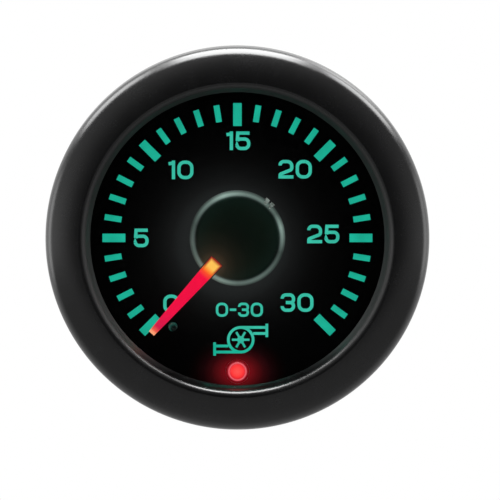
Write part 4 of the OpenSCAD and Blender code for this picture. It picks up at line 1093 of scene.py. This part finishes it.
def dress_movement():
    housing = moulded("motor_plastic", srgb(34, 37, 40), srgb(46, 49, 53), (0.4, 0.6))
    dress(housing, "motor_housing", "motor_cover")
    core = metal("stator_steel", srgb(120, 124, 128), srgb(150, 154, 158), (0.35, 0.5))
    dress(core, "stator_core", "stator_yoke")
    nylon = moulded("bobbin_nylon", srgb(206, 202, 186), srgb(222, 218, 204), (0.4, 0.6))
    dress(nylon, "coil_bobbins")
    copper = metal("coil_copper", srgb(150, 74, 38), srgb(190, 104, 58), (0.25, 0.45),
                   stretch=(TO_MM, TO_MM, TO_MM), scale=5.0)
    dress(copper, "coil_windings")
    brass = metal("pin_brass", srgb(196, 166, 92), srgb(222, 196, 122), (0.2, 0.35))
    dress(brass, "motor_pins", "link_pins", "power_pins", "sensor_pins")
    steel = metal("shaft_steel", srgb(168, 172, 176), srgb(198, 202, 206), (0.15, 0.3))
    dress(steel, "idler_axle", "output_shaft", "lamp_leads", "board_screws")
    acetal = moulded("gear_acetal", srgb(222, 218, 204), srgb(236, 232, 220), (0.3, 0.5))
    dress(acetal, "output_gear", "idler_gear", "rotor_pinion")
    ferrite = moulded("magnet_ferrite", srgb(60, 62, 66), srgb(84, 86, 90), (0.5, 0.7))
    dress(ferrite, "rotor_magnet")


def dress_electronics():
    header = moulded("header_plastic", srgb(20, 21, 23), srgb(28, 29, 31), (0.4, 0.6))
    dress(header, "link_header")
    epoxy = moulded("chip_epoxy", srgb(24, 25, 27), srgb(36, 37, 40), (0.5, 0.7), grain=4.0)
    dress(epoxy, "processor_chip", "driver_chip")
    can = metal("can_aluminium", srgb(150, 154, 158), srgb(186, 190, 194), (0.25, 0.4))
    dress(can, "capacitors")
    ceramic = moulded("resistor_ceramic", srgb(30, 30, 33), srgb(52, 52, 56), (0.35, 0.6))
    dress(ceramic, "chip_resistors")
    cream = moulded("socket_nylon", srgb(222, 214, 190), srgb(236, 229, 208), (0.35, 0.5), grain=3.0)
    dress(cream, "power_socket", "sensor_socket")


def dress_fixings():
    oxide = metal("screw_oxide", srgb(34, 35, 38), srgb(58, 60, 64), (0.3, 0.45))
    dress(oxide, "cover_screws")
    strap = metal("strap_plate", srgb(150, 154, 156), srgb(188, 190, 190), (0.26, 0.42),
                  stretch=(60.0, TO_MM, TO_MM), scale=3.0, depth=0.02)
    dress(strap, "clamp_strap")
    washer = metal("washer_plate", srgb(160, 162, 162), srgb(196, 196, 194), (0.25, 0.4))
    dress(washer, "stud_washers")
    nut = metal("nut_plate", srgb(146, 150, 154), srgb(186, 190, 194), (0.2, 0.34))
    dress(nut, "thumb_nut_left", "thumb_nut_right")


bpy.context.scene.view_settings.view_transform = "Standard"
make_camera()
make_lamps()
make_world()
make_floor()
dress_front()
dress_movement()
dress_electronics()
dress_fixings()
make_bezel()
make_lens()
make_dial()
make_legends()
make_arm()
make_nub()
make_warning_lamp()
make_stop_pin()
make_studs()
